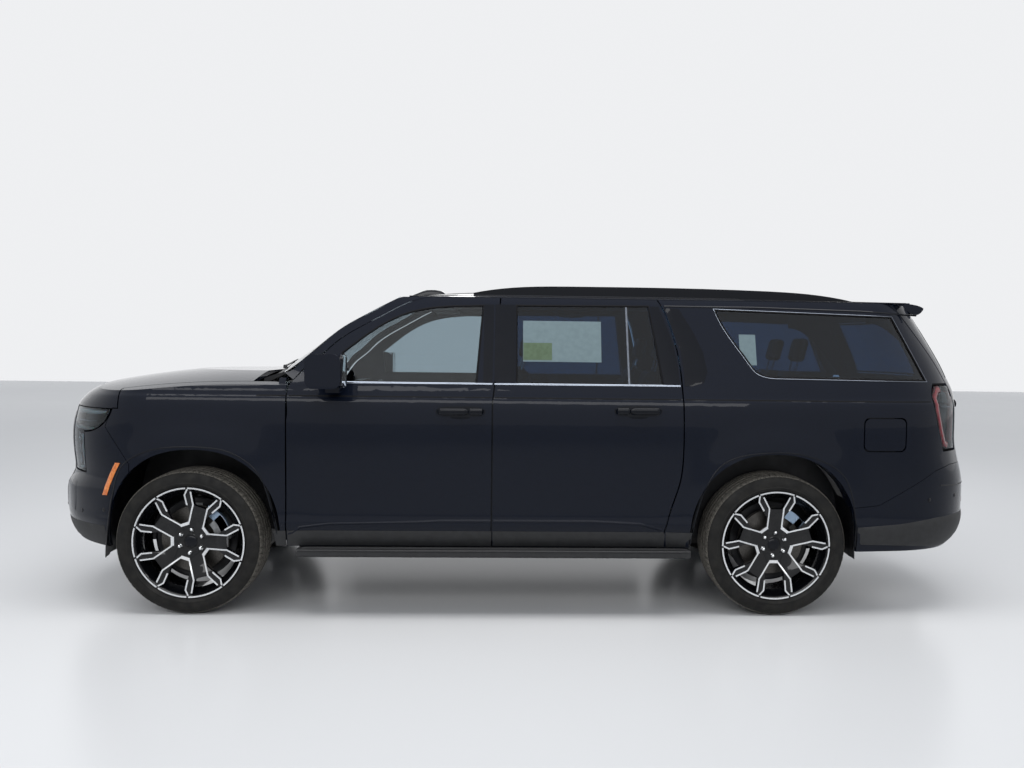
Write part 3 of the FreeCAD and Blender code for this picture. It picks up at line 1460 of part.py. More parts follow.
def save_shell():
    """Save the body's sides, roof, nose and tail."""
    nose = nose_parts()
    for name, shape in list(nose.items()) + list(tail_parts().items()):
        saved(name, shape)
    saved("fender_right", mirrored(nose["fender_left"]))
    side = body_side().cut(nose["fender_left"])
    flap, pocket, stop = fuel_pieces()
    saved("fuel_door", flap)
    saved("body_side_left", joined(side.cut(pocket), stop))
    saved("body_side_right", mirrored(side))
    top = roof()
    saved("roof", top)
    saved("roof_rails", both_sides(largest(roof_rail().cut(top))))
    both = side.fuse(mirrored(side))
    saved("windshield", windshield().cut(both))
    saved("floor_pan", floor_pan().cut(both))


def save_doors():
    """Save doors, side glass and mirrors."""
    doors = {"front": front_door(), "rear": rear_door()}
    reach = pillar_width + edge_setback
    panes = {"front": pane(front_glass(-fit_gap), door_front + frame_depth, door_split + reach),
             "rear": pane(rear_glass(-fit_gap), door_split - frame_depth, door_back + frame_depth)}
    for name, shape in doors.items():
        saved("door_" + name + "_left", shape)
        saved("door_" + name + "_right", mirrored(shape))
        saved("glass_" + name + "_left", panes[name])
        saved("glass_" + name + "_right", mirrored(panes[name]))
    shares = spread(share_at(door_back + frame_depth), tail_start_share, 10) + tail_shares[4:11]
    quarter = wall_between(shares, glass_inset, glass_inset + glass_thickness)
    saved("quarter_glass", both_sides(quarter.common(side_prism(quarter_glass(-fit_gap)))))
    left = largest(mirror().cut(doors["front"]))
    saved("mirror_left", left)
    saved("mirror_right", mirrored(left))


def save_running_gear():
    """Save frame, suspension, wheels and tyres."""
    pieces = {"chassis_frame": chassis_frame(), "engine_block": engine_block(), "exhaust": exhaust(),
              "driveline": driveline(), "running_boards": running_boards(), "front_suspension": front_suspension(),
              "rear_suspension": rear_suspension()}
    for name, shape in pieces.items():
        saved(name, shape)
    tyre_shape = tyre()
    for axle, x, turn in (("front", front_axle, 0.0), ("rear", rear_axle, rear_spoke_turn)):
        rim = wheel(turn)
        for name, side in (("left", -1), ("right", 1)):
            saved("tyre_" + axle + "_" + name, placed_wheel(tyre_shape, x, side))
            saved("wheel_" + axle + "_" + name, placed_wheel(rim, x, side))
    saved("knuckle_left", placed_wheel(knuckle(), front_axle, -1))
    saved("knuckle_right", placed_wheel(knuckle(), front_axle, 1))


def save_cabin():
    """Save seats, dashboard and steering wheel."""
    front = seat_row(front_seat_x, seat_y, seat_width, floor_top, backrest)
    second = seat_row(second_seat_x, seat_y, seat_width, floor_top, backrest)
    third = seat_row(third_seat_x, third_seat_y, third_seat_width, rear_floor_top, 0.8 * backrest)
    saved("front_seats", Part.makeCompound(front))
    saved("rear_seats", Part.makeCompound(second + third))
    saved("dashboard", dashboard())
    saved("steering_wheel", steering_wheel())


def build():
    """Build and save every sub-part."""
    save_shell()
    save_doors()
    save_running_gear()
    save_cabin()


if __name__ == "__main__":
    build()
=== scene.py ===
import math

import bmesh
import bpy
from mathutils import Matrix, Vector
from mathutils.bvhtree import BVHTree


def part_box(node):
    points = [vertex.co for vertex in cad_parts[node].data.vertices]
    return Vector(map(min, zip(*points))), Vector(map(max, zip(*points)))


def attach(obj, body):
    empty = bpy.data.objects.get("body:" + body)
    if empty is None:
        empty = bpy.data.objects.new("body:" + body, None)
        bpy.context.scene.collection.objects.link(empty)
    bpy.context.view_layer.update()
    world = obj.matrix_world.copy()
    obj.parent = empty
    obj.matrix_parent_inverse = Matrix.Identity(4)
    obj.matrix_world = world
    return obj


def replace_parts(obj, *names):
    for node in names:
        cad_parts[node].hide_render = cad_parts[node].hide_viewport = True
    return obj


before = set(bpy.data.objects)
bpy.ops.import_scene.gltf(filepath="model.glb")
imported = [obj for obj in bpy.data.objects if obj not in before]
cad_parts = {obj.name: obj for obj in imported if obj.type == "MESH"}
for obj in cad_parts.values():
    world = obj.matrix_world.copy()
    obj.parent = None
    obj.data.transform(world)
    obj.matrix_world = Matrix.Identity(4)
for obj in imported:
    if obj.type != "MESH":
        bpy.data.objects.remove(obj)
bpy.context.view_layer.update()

MM = 0.001

# Axle places and the rim's half width, in millimetres as all sizes below
FRONT_AXLE, REAR_AXLE = -1889.0, 1517.0
WHEEL_Y, WHEEL_Z = 865.5, 418.8
RIM_HALF = 131.0

# Heights of the side's lines: foot and top of the cladding, shoulder groove, window sill, foot of the covers
FOOT, SKIRT_TOP, GROOVE, SILL, COVER_FOOT = 407.0, 497.0, 1271.0, 1349.0, 1362.0


# Camera and studio
def place_camera():
    """The photograph's viewpoint: eye height, square to the left side."""
    data = bpy.data.cameras.new("photo_camera")
    data.sensor_width = 36.0
    data.lens = 31.918
    data.shift_x, data.shift_y = -0.0244, 0.0175
    data.clip_end = 100.0
    camera = bpy.data.objects.new("photo_camera", data)
    bpy.context.scene.collection.objects.link(camera)
    yaw, pitch, roll = -0.0366280, -0.0600428, -0.0128307
    turn = Matrix.Rotation(yaw, 3, "Z") @ Matrix.Rotation(pitch, 3, "X") @ Matrix.Rotation(roll, 3, "Y")
    right, ahead, up = turn.col[0], turn.col[1], turn.col[2]
    world = Matrix((right, up, -ahead)).transposed().to_4x4()
    world.translation = Vector((-0.0894, -6.2121, 1.5637))
    camera.matrix_world = world
    bpy.context.scene.camera = camera


def linear(hex_code):
    """sRGB hex to the linear colour that a shader takes."""
    parts = [int(hex_code[i:i + 2], 16) / 255.0 for i in (1, 3, 5)]
    return [p / 12.92 if p <= 0.04045 else ((p + 0.055) / 1.055) ** 2.4 for p in parts] + [1.0]


def add_node(tree, kind, settings=None, links=None):
    """Add a shader node, set its properties and sockets, and link its inputs."""
    node = tree.nodes.new(kind)
    for key, value in (settings or {}).items():
        if key in node.inputs:
            node.inputs[key].default_value = value
        else:
            setattr(node, key, value)
    for key, source in (links or {}).items():
        tree.links.new(source, node.inputs[key])
    return node


# Materials
def shader_of(name, hex_code, roughness, **settings):
    """A new material with its surface shader's own sockets set."""
    material = bpy.data.materials.new(name)
    material.use_nodes = True
    tree = material.node_tree
    shader = tree.nodes["Principled BSDF"]
    shader.inputs["Base Color"].default_value = linear(hex_code)
    shader.inputs["Roughness"].default_value = roughness
    for key, value in settings.items():
        shader.inputs[key.replace("_", " ")].default_value = value
    return material, tree, shader


def noise_over(tree, size_mm, detail, stretch=(1.0, 1.0, 1.0)):
    """Noise with features of that size, in coordinates that stay on the piece, stretched per axis."""
    here = add_node(tree, "ShaderNodeTexCoord")
    place = add_node(tree, "ShaderNodeMapping", {"Scale": stretch}, {"Vector": here.outputs["Object"]})
    return add_node(tree, "ShaderNodeTexNoise", {"Scale": 1000.0 / size_mm, "Detail": detail},
            {"Vector": place.outputs["Vector"]}).outputs["Fac"]


def grain(tree, shader, size_mm, height_mm, stretch=(1.0, 1.0, 1.0), detail=4.0, strength=1.0,
        socket="Normal"):
    """Surface grain: bumps of that size and height."""
    bump = add_node(tree, "ShaderNodeBump", {"Strength": strength, "Distance": height_mm * MM},
            {"Height": noise_over(tree, size_mm, detail, stretch)})
    tree.links.new(bump.outputs["Normal"], shader.inputs[socket])


def drift(tree, shader, low, high, size_mm, stretch=(1.0, 1.0, 1.0)):
    """Slow change of roughness over the surface, as dust, handling and wear give."""
    reach = add_node(tree, "ShaderNodeMapRange", {"From Min": 0.3, "From Max": 0.7, "To Min": low,
            "To Max": high}, {"Value": noise_over(tree, size_mm, 5.0, stretch)})
    tree.links.new(reach.outputs["Result"], shader.inputs["Roughness"])


def two_tone(tree, shader, first, second, size_mm):
    """Base colour that wanders between two tones in patches of that size."""
    ramp = add_node(tree, "ShaderNodeValToRGB", None, {"Fac": noise_over(tree, size_mm, 6.0)})
    for element, place, tone in zip(ramp.color_ramp.elements, (0.35, 0.65), (first, second)):
        element.position, element.color = place, linear(tone)
    tree.links.new(ramp.outputs["Color"], shader.inputs["Base Color"])


def surface(name, hex_code, roughness, tones=None, wear=None, tooth=None, **settings):
    """A material with wandering tones, drifting roughness and grain, each where it is given."""
    material, tree, shader = shader_of(name, hex_code, roughness, **settings)
    for lay, values in ((two_tone, tones), (drift, wear), (grain, tooth)):
        if values:
            lay(tree, shader, *values)
    return material


def baked_black_enamel():
    """Metallic black body enamel, sprayed and baked under clear lacquer: deep, with a navy tint that is a
    painted reflection of blue sky.
    """
    material, tree, shader = shader_of("baked_black_enamel", "#090d17", 0.4, Coat_Weight=1.0,
            Coat_Roughness=0.015, Coat_IOR=1.24, Specular_IOR_Level=0.05)
    # The navy in these tones is a painted reflection of blue sky, laid over the black.
    two_tone(tree, shader, "#060910", "#0c1322", 0.9)
    grain(tree, shader, 6.25, 0.02, detail=1.0, strength=0.25, socket="Coat Normal")
    return material


def float_glass():
    """Clear laminated float glass with a light solar tint, polished."""
    return surface("float_glass", "#b8c5cb", 0.0, Transmission_Weight=1.0, IOR=1.50)


def privacy_glass():
    """Body-tinted float glass for the rear cabin: blue-black, polished; its tint is made lighter and bluer as
    a painted reflection of blue sky.
    """
    # This lighter blue tint is partly a painted reflection of blue sky.
    return surface("privacy_glass", "#4a647f", 0.0, Transmission_Weight=1.0, IOR=1.42)


def vulcanised_rubber():
    """Carbon-black tyre rubber from a steel mould: matte grey-black, dustier in patches."""
    return surface("vulcanised_rubber", "#131312", 0.72, tones=("#0f0f0f", "#1b1a18", 45.0),
            wear=(0.6, 0.82, 60.0), tooth=(1.2, 0.06), Specular_IOR_Level=0.25)


def dust_and_painted_light_tread_rubber():
    """Tread rubber, grey over black in patches: partly floor dust, partly painted light that lifts the tread
    out of the arch's shade.
    """
    return surface("dust_and_painted_light_tread_rubber", "#55524d", 0.85, tones=("#403e3a", "#6b6760", 9.0),
            tooth=(1.2, 0.06), Specular_IOR_Level=0.3)


def gloss_black_wheel_enamel():
    """Gloss black powder enamel on cast alloy: wet-looking, slightly wavy."""
    return surface("gloss_black_wheel_enamel", "#08090c", 0.3, wear=(0.2, 0.34, 30.0), tooth=(9.0, 0.02),
            Coat_Weight=1.0, Coat_Roughness=0.03, Coat_IOR=1.36, Specular_IOR_Level=0.05)


def machined_aluminium():
    """Face-turned aluminium alloy under clear lacquer: bright, with fine turning marks round the axle."""
    return surface("machined_aluminium", "#d9dbdd", 0.24, wear=(0.18, 0.32, 4.0), tooth=(1.4, 0.015),
            Metallic=1.0, Coat_Weight=0.4, Coat_Roughness=0.08)


def turned_cast_iron():
    """Brake disc iron, turned on a lathe and worn by the pads: dark grey, streaked round the hub."""
    return surface("turned_cast_iron", "#4e4c4a", 0.42, tones=("#413f3d", "#5b5956", 6.0),
            wear=(0.28, 0.5, 5.0), Metallic=1.0)


def lacquered_caliper():
    """Cast brake caliper in silver-blue lacquer: satin, with a cast skin."""
    return surface("lacquered_caliper", "#8fa3b8", 0.35, wear=(0.28, 0.45, 20.0), tooth=(2.5, 0.1),
            Metallic=0.7)


def grained_moulding():
    """Black polypropylene cladding, injection moulded on an etched tool: matte with a leather-like grain."""
    return surface("grained_moulding", "#17181a", 0.58, tones=("#141517", "#1d1e20", 35.0),
            tooth=(1.6, 0.12), Specular_IOR_Level=0.45)


def piano_black_moulding():
    """Gloss black ABS from a polished mould, as on pillar covers and handles; its navy tint is a painted
    reflection of blue sky.
    """
    # The navy in the base and tones is a painted reflection of blue sky.
    return surface("piano_black_moulding", "#080c16", 0.3, tones=("#05070c", "#090d16", 0.9),
            Coat_Weight=1.0, Coat_Roughness=0.02, Coat_IOR=1.24, Specular_IOR_Level=0.05)


def satin_black_moulding():
    """Satin black ABS, fine-grained from the mould."""
    return surface("satin_black_moulding", "#0e0f12", 0.42, tones=("#0c0d10", "#121317", 30.0),
            wear=(0.36, 0.5, 50.0), tooth=(0.9, 0.03), Specular_IOR_Level=0.3)


def extruded_seal():
    """Extruded EPDM door and glass seals: soft matte black."""
    return surface("extruded_seal", "#08080a", 0.78, tooth=(1.0, 0.05), Specular_IOR_Level=0.15)


def bright_rolled_trim():
    """Rolled stainless strip, polished then darkened by smoked lacquer."""
    return surface("bright_rolled_trim", "#7a808a", 0.18, wear=(0.1, 0.24, 25.0, (0.2, 1.0, 1.0)),
            Metallic=1.0)


def clear_lamp_cover():
    """Lightly smoked polycarbonate lamp cover, moulded and hard-coated."""
    return surface("clear_lamp_cover", "#a9b1b6", 0.0, Transmission_Weight=1.0, IOR=1.22)


def frosted_light_guide():
    """Frosted acrylic light guide, unlit: milky white."""
    return surface("frosted_light_guide", "#c3cace", 0.35, wear=(0.28, 0.45, 10.0), tooth=(1.5, 0.05),
            Subsurface_Weight=0.2)


def vacuum_metallised_reflector():
    """Aluminium vapour on moulded plastic: mirror bright."""
    return surface("vacuum_metallised_reflector", "#a4a9ae", 0.08, wear=(0.05, 0.14, 12.0), Metallic=1.0)


def red_lens_moulding():
    """Red acrylic tail lens, moulded with fine prisms behind a clear face."""
    return surface("red_lens_moulding", "#6a0b19", 0.2, tones=("#5c0914", "#7a0f20", 14.0),
            tooth=(5.0, 0.15), Coat_Weight=1.0, Coat_Roughness=0.02, Coat_IOR=1.3)


def grey_lens_moulding():
    """Smoke-grey acrylic over a textured reflector: satin grey with moulded ribs."""
    return surface("grey_lens_moulding", "#3d4145", 0.25, tones=("#32363a", "#4b4f53", 16.0),
            tooth=(6.0, 0.15, (1.0, 1.0, 0.25)), Coat_Weight=1.0, Coat_Roughness=0.03, Coat_IOR=1.3)


def amber_lens_moulding():
    """Amber acrylic marker lens with a prism pattern."""
    return surface("amber_lens_moulding", "#d9731f", 0.2, tones=("#c9611a", "#e98a35", 18.0),
            tooth=(4.0, 0.2), Coat_Weight=0.8, Coat_Roughness=0.04)


def coated_frame_steel():
    """Pressed chassis steel dipped in wax and black primer: dull, a little dusty."""
    return surface("coated_frame_steel", "#1c1c1d", 0.6, tones=("#161617", "#2b2a28", 90.0),
            tooth=(6.0, 0.1), Metallic=0.3)


def sand_cast_alloy():
    """Sand-cast aluminium of housings and knuckles: light grey, pebbly."""
    return surface("sand_cast_alloy", "#7c7e80", 0.5, tones=("#6a6b6d", "#8d8f90", 30.0), tooth=(2.2, 0.15),
            Metallic=0.8)


def drawn_stainless_pipe():
    """Drawn stainless exhaust pipe, browned by heat in patches."""
    return surface("drawn_stainless_pipe", "#8b847b", 0.34, tones=("#7a6f63", "#a19d96", 120.0),
            wear=(0.25, 0.48, 60.0), Metallic=1.0)


def stitched_leather():
    """Black seat leather, drum-dyed and embossed: fine pebble, soft sheen."""
    return surface("stitched_leather", "#1d1b1a", 0.5, tones=("#181615", "#242120", 70.0),
            wear=(0.42, 0.58, 45.0), tooth=(2.6, 0.035), Specular_IOR_Level=0.45)


def tufted_carpet():
    """Looped nylon floor carpet, drawn at a coarse 4 mm loop so that it shows."""
    return surface("tufted_carpet", "#141416", 0.95, tones=("#101012", "#1f1f22", 5.0), tooth=(4.0, 0.8),
            Sheen_Weight=0.3)


def knitted_headliner():
    """Warp-knitted headliner cloth in warm grey, bonded to foam."""
    return surface("knitted_headliner", "#8d8a85", 0.9, tones=("#86837e", "#96938e", 40.0),
            tooth=(1.5, 0.15), Sheen_Weight=0.2)


def soft_touch_dash():
    """Slush-moulded dashboard skin: black, with a fine leather grain."""
    return surface("soft_touch_dash", "#19191a", 0.6, tones=("#151516", "#202021", 60.0), tooth=(1.8, 0.025))


def display_glass():
    """Bonded display cover glass, switched off."""
    return surface("display_glass", "#050608", 0.3, Coat_Weight=1.0, Coat_Roughness=0.0, Coat_IOR=1.25,
            Specular_IOR_Level=0.05)


def printed_paper():
    """Uncoated white card, blank, with a faint tooth."""
    return surface("printed_paper", "#e9e9e4", 0.8, tones=("#dededa", "#f0f0ec", 30.0), tooth=(0.8, 0.03))


def painted_shade_paper():
    """Uncoated paper, blank: pale blue-green grey, its white darkened and blued as painted shade from the
    tinted pane.
    """
    return surface("painted_shade_paper", "#56686d", 0.6, tones=("#53656a", "#5a6c71", 30.0), tooth=(0.8, 0.03))


def painted_shade_tinted_paper():
    """Blank paper tinted yellow-green, darkened by the same painted shade."""
    return surface("painted_shade_tinted_paper", "#465741", 0.8, tones=("#42533d", "#4a5c46", 24.0), tooth=(0.8, 0.03))


def silvered_mirror():
    """Silvered mirror glass."""
    return surface("silvered_mirror", "#e3e6e8", 0.01, Metallic=1.0)


FINISHES = {}


def finish(maker):
    """The one material that a maker function makes, made once."""
    if maker.__name__ not in FINISHES:
        FINISHES[maker.__name__] = maker()
    return FINISHES[maker.__name__]


# Floor and lights
def build_studio():
    """Pale seamless floor, white surroundings, and broad soft lamps overhead."""
    bpy.ops.mesh.primitive_grid_add(x_subdivisions=40, y_subdivisions=40, size=1.0)
    floor = bpy.context.object
    floor.name = "studio_floor"
    floor.scale = (60.0, 60.0, 1.0)
    floor.data.materials.append(surface("sealed_concrete", "#dcdcdc", 0.22, ("#d6d6d7", "#e2e2e2", 900.0),
            (0.16, 0.3, 400.0), Specular_IOR_Level=0.4))

    world = bpy.data.worlds.new("studio")
    bpy.context.scene.world = world
    world.use_nodes = True
    tree = world.node_tree
    tree.nodes.clear()
    path = add_node(tree, "ShaderNodeLightPath")
    seen = add_node(tree, "ShaderNodeMath", {"operation": "MAXIMUM"},
            {0: path.outputs["Is Camera Ray"], 1: path.outputs["Is Transmission Ray"]})
    seen = add_node(tree, "ShaderNodeMath", {"operation": "MAXIMUM"},
            {0: seen.outputs[0], 1: path.outputs["Is Glossy Ray"]})
    soft = add_node(tree, "ShaderNodeBackground", {"Color": linear("#ccd4df"), "Strength": 0.55})
    white = add_node(tree, "ShaderNodeBackground", {"Color": linear("#f4f5f7"), "Strength": 0.95})
    mix = add_node(tree, "ShaderNodeMixShader", None, {0: seen.outputs[0], 1: soft.outputs[0],
            2: white.outputs[0]})
    add_node(tree, "ShaderNodeOutputWorld", None, {"Surface": mix.outputs[0]})

    for name, place, size, power, aim in (
            ("overhead_lamp", (0.0, -1.5, 5.2), (8.0, 2.4), 260.0, (0.0, 0.0, 0.0)),
            ("side_lamp", (-1.0, -7.5, 4.4), (9.0, 2.0), 240.0, (0.0, 0.0, 0.9)),
            ("far_lamp", (1.0, 6.5, 4.5), (8.0, 2.0), 160.0, (0.0, 0.0, 0.9))):
        data = bpy.data.lights.new(name, "AREA")
        data.shape, data.size, data.size_y, data.energy = "RECTANGLE", size[0], size[1], power
        lamp = bpy.data.objects.new(name, data)
        bpy.context.scene.collection.objects.link(lamp)
        lamp.location = place
        lamp.rotation_euler = (Vector(aim) - Vector(place)).to_track_quat("-Z", "Y").to_euler()


# Finishes of the carried-over nodes
def dress_nodes():
    """Give every carried-over node its finish."""
    finishes = {
            baked_black_enamel: ("door_front_left", "door_front_right", "door_rear_left", "door_rear_right",
                "hood", "fender_left", "fender_right", "body_side_left", "body_side_right", "roof",
                "liftgate", "fuel_door", "mirror_left", "mirror_right", "front_bumper", "rear_bumper"),
            float_glass: ("glass_front_left", "glass_front_right", "windshield"),
            privacy_glass: ("glass_rear_left", "glass_rear_right", "quarter_glass", "rear_glass"),
            vulcanised_rubber: ("tyre_front_left", "tyre_front_right", "tyre_rear_left", "tyre_rear_right"),
            gloss_black_wheel_enamel: ("wheel_front_left", "wheel_front_right", "wheel_rear_left",
                "wheel_rear_right"),
            coated_frame_steel: ("chassis_frame", "rear_suspension", "front_suspension"),
            sand_cast_alloy: ("engine_block", "knuckle_left", "knuckle_right", "driveline"),
            drawn_stainless_pipe: ("exhaust",),
            grained_moulding: ("running_boards",),
            piano_black_moulding: ("grille", "roof_rails", "headlamps"),
            tufted_carpet: ("floor_pan",),
            red_lens_moulding: ("tail_lamps",),
            stitched_leather: ("front_seats", "rear_seats"),
            soft_touch_dash: ("dashboard", "steering_wheel")}
    for maker, names in finishes.items():
        for name in names:
            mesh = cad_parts[name].data
            mesh.materials.clear()
            mesh.materials.append(finish(maker))


# Making pieces
class Form:
    """Points and faces of one piece, gathered before they become a mesh."""

    def __init__(self):
        self.points, self.faces, self.finishes = [], [], []

    def add(self, points, faces, maker):
        start = len(self.points)
        self.points += [tuple(p) for p in points]
        self.faces += [tuple(start + i for i in face) for face in faces]
        self.finishes += [maker] * len(faces)

    def moved(self, change):
        self.points = [tuple(change(Vector(p))) for p in self.points]
        return self

    def flipped(self):
        self.faces = [tuple(reversed(f)) for f in self.faces]
        return self

    def copy(self):
        other = Form()
        other.points, other.faces, other.finishes = list(self.points), list(self.faces), list(self.finishes)
        return other

    def merge(self, other):
        start = len(self.points)
        self.points += other.points
        self.faces += [tuple(start + i for i in face) for face in other.faces]
        self.finishes += other.finishes
        return self

    def piece(self, name, body, slot, sharp=40.0, weld=True):
        """Turn the form into an object in metres that rides on a body."""
        mesh = bpy.data.meshes.new(name)
        mesh.from_pydata([tuple(c * MM for c in p) for p in self.points], [], self.faces)
        makers = list(dict.fromkeys(self.finishes))
        for maker in makers:
            mesh.materials.append(finish(maker))
        mesh.polygons.foreach_set("material_index", [makers.index(m) for m in self.finishes])
        if weld:
            work = bmesh.new()
            work.from_mesh(mesh)
            bmesh.ops.remove_doubles(work, verts=work.verts, dist=0.00002)
            bmesh.ops.recalc_face_normals(work, faces=work.faces)
            work.to_mesh(mesh)
            work.free()
        mesh.polygons.foreach_set("use_smooth", [True] * len(mesh.polygons))
        mesh.set_sharp_from_angle(angle=math.radians(sharp))
        made = bpy.data.objects.new(name, mesh)
        bpy.context.scene.collection.objects.link(made)
        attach(made, body)
        return made


def net(rows, size, rows_meet, ends_meet):
    """Faces between neighbouring points of rows that all have that many points."""
    faces = []
    for i in range(rows if rows_meet else rows - 1):
        k = (i + 1) % rows
        for j in range(size if ends_meet else size - 1):
            m = (j + 1) % size
            faces.append((i * size + j, k * size + j, k * size + m, i * size + m))
    return faces


def circle(count):
    """That many angles spread evenly over a full turn."""
    return [2 * math.pi * i / count for i in range(count)]


def bent(value, power):
    """A value raised to a power with its sign kept, which squares or pinches a circle."""
    return math.copysign(abs(value) ** power, value)


def add_rows(form, points, rows, maker, rows_meet):
    """A closed skin over rows of points; its two ends are capped unless the rows meet."""
    size = len(points) // rows
    faces = net(rows, size, rows_meet, True)
    if not rows_meet:
        faces += [tuple(reversed(range(size))), tuple((rows - 1) * size + j for j in range(size))]
    form.add(points, faces, maker)


def lathe(form, profile, maker, segments, closed=True):
    """Turn a (radius, across) profile round the y axis."""
    points = [(r * math.cos(a), y, r * math.sin(a)) for a in circle(segments) for r, y in profile]
    form.add(points, net(segments, len(profile), True, closed), maker)


def crosswise(path, i, closed, least):
    """Way across a flat path at one of its points, lengthened so that corners keep the strip's width."""
    count, here = len(path), Vector(path[i])
    first = here - Vector(path[i - 1]) if i or closed else Vector((0.0, 0.0))
    second = Vector(path[(i + 1) % count]) - here if i < count - 1 or closed else Vector((0.0, 0.0))
    first = first.normalized() if first.length > 1e-9 else second.normalized()
    second = second.normalized() if second.length > 1e-9 else first
    across = Vector((-(first.y + second.y), first.x + second.x)).normalized()
    return across / max(least, across.dot(Vector((-first.y, first.x))))


def slab(form, outline, low, high, maker, depth_of=None, cuts=(), edge=0.0):
    """A plate with that outline in x and z from y = low to high, cut along x so that it can bend."""
    work = bmesh.new()
    work.faces.new([work.verts.new((x, 0.0, z)) for x, z in outline])
    for cut in cuts:
        bmesh.ops.bisect_plane(work, geom=list(work.verts) + list(work.edges) + list(work.faces),
                plane_co=(cut, 0, 0), plane_no=(1, 0, 0))
    top = list(work.faces)
    grown = bmesh.ops.extrude_face_region(work, geom=top)
    raised = [e for e in grown["geom"] if isinstance(e, bmesh.types.BMVert)]
    for vert in raised:
        vert.co.y = 1.0
    bmesh.ops.recalc_face_normals(work, faces=work.faces)
    if edge:
        rims = [e for e in work.edges if e.is_manifold and e.calc_face_angle(0.0) > 0.8 and
                all(v.co.y < 0.5 for v in e.verts)]
        for vert in work.verts:
            vert.co.y *= high - low
        bmesh.ops.bevel(work, geom=rims, offset=edge, segments=2, profile=0.5, affect="EDGES",
                clamp_overlap=True)
        for vert in work.verts:
            vert.co.y /= high - low
    work.verts.index_update()
    points = []
    for vert in work.verts:
        base = depth_of(vert.co.x, vert.co.z) if depth_of else 0.0
        points.append((vert.co.x, base + low + (high - low) * vert.co.y, vert.co.z))
    form.add(points, [[v.index for v in f.verts] for f in work.faces], maker)
    work.free()


def ribbon(form, path, width, low, high, maker, depth_of=None):
    """A flat strip of that width along a path of (x, z) points, from y = low to high."""
    count = len(path)
    edges = []
    for i, (x, z) in enumerate(path):
        side = crosswise(path, i, False, 0.35) * width / 2
        edges += [(x + side.x, z + side.y), (x - side.x, z - side.y)]
    points = []
    for x, z in edges:
        base = depth_of(x, z) if depth_of else 0.0
        points += [(x, base + low, z), (x, base + high, z)]
    faces = []
    for i in range(count - 1):
        a, b = 4 * i, 4 * (i + 1)
        for p, q in ((0, 2), (2, 3), (3, 1), (1, 0)):
            faces.append((a + p, b + p, b + q, a + q))
    faces += [(0, 2, 3, 1), tuple(4 * (count - 1) + i for i in (1, 3, 2, 0))]
    form.add(points, faces, maker)


def subdivided(path, step):
    """The same path with points no further apart than step."""
    out = [path[0]]
    for a, b in zip(path, path[1:]):
        parts = max(1, int(math.ceil(math.hypot(b[0] - a[0], b[1] - a[1]) / step)))
        out += [(a[0] + (b[0] - a[0]) * i / parts, a[1] + (b[1] - a[1]) * i / parts) for i in range(1,
                parts + 1)]
    return out


def arc(radius, start, end, count):
    """Points on a circle between two angles in degrees."""
    return [(radius * math.cos(math.radians(start + (end - start) * i / (count - 1))),
            radius * math.sin(math.radians(start + (end - start) * i / (count - 1)))) for i in range(count)]


def turned(path, degrees):
    """The path turned about the origin."""
    c, s = math.cos(math.radians(degrees)), math.sin(math.radians(degrees))
    return [(x * c - z * s, x * s + z * c) for x, z in path]


def about_axle(form, degrees):
    """The form turned about the wheel's axle."""
    c, s = math.cos(math.radians(degrees)), math.sin(math.radians(degrees))
    return form.moved(lambda p: Vector((p.x * c - p.z * s, p.y, p.x * s + p.z * c)))


# Wheels: depth of the hub face and of the spokes' tips, width of the machined lines, radius of the lug circle
SPOKES = 5
RECESS, FACE_RISE = 46.0, 8.0
LINE = 8.5
LUG_CIRCLE = 69.85
# Brake disc: near and far faces, measured outwards from the wheel's middle
DISC_NEAR, DISC_FAR = -RIM_HALF + RECESS + 74.0, -RIM_HALF + RECESS + 104.0


def face_depth(x, z):
    """How far behind the rim's edge the wheel face lies at a place: dished towards the hub."""
    share = max(0.0, min(1.0, (math.hypot(x, z) - 78.0) / 165.0))
    return FACE_RISE + (RECESS - FACE_RISE) * (1.0 - share * share * (3.0 - 2.0 * share))


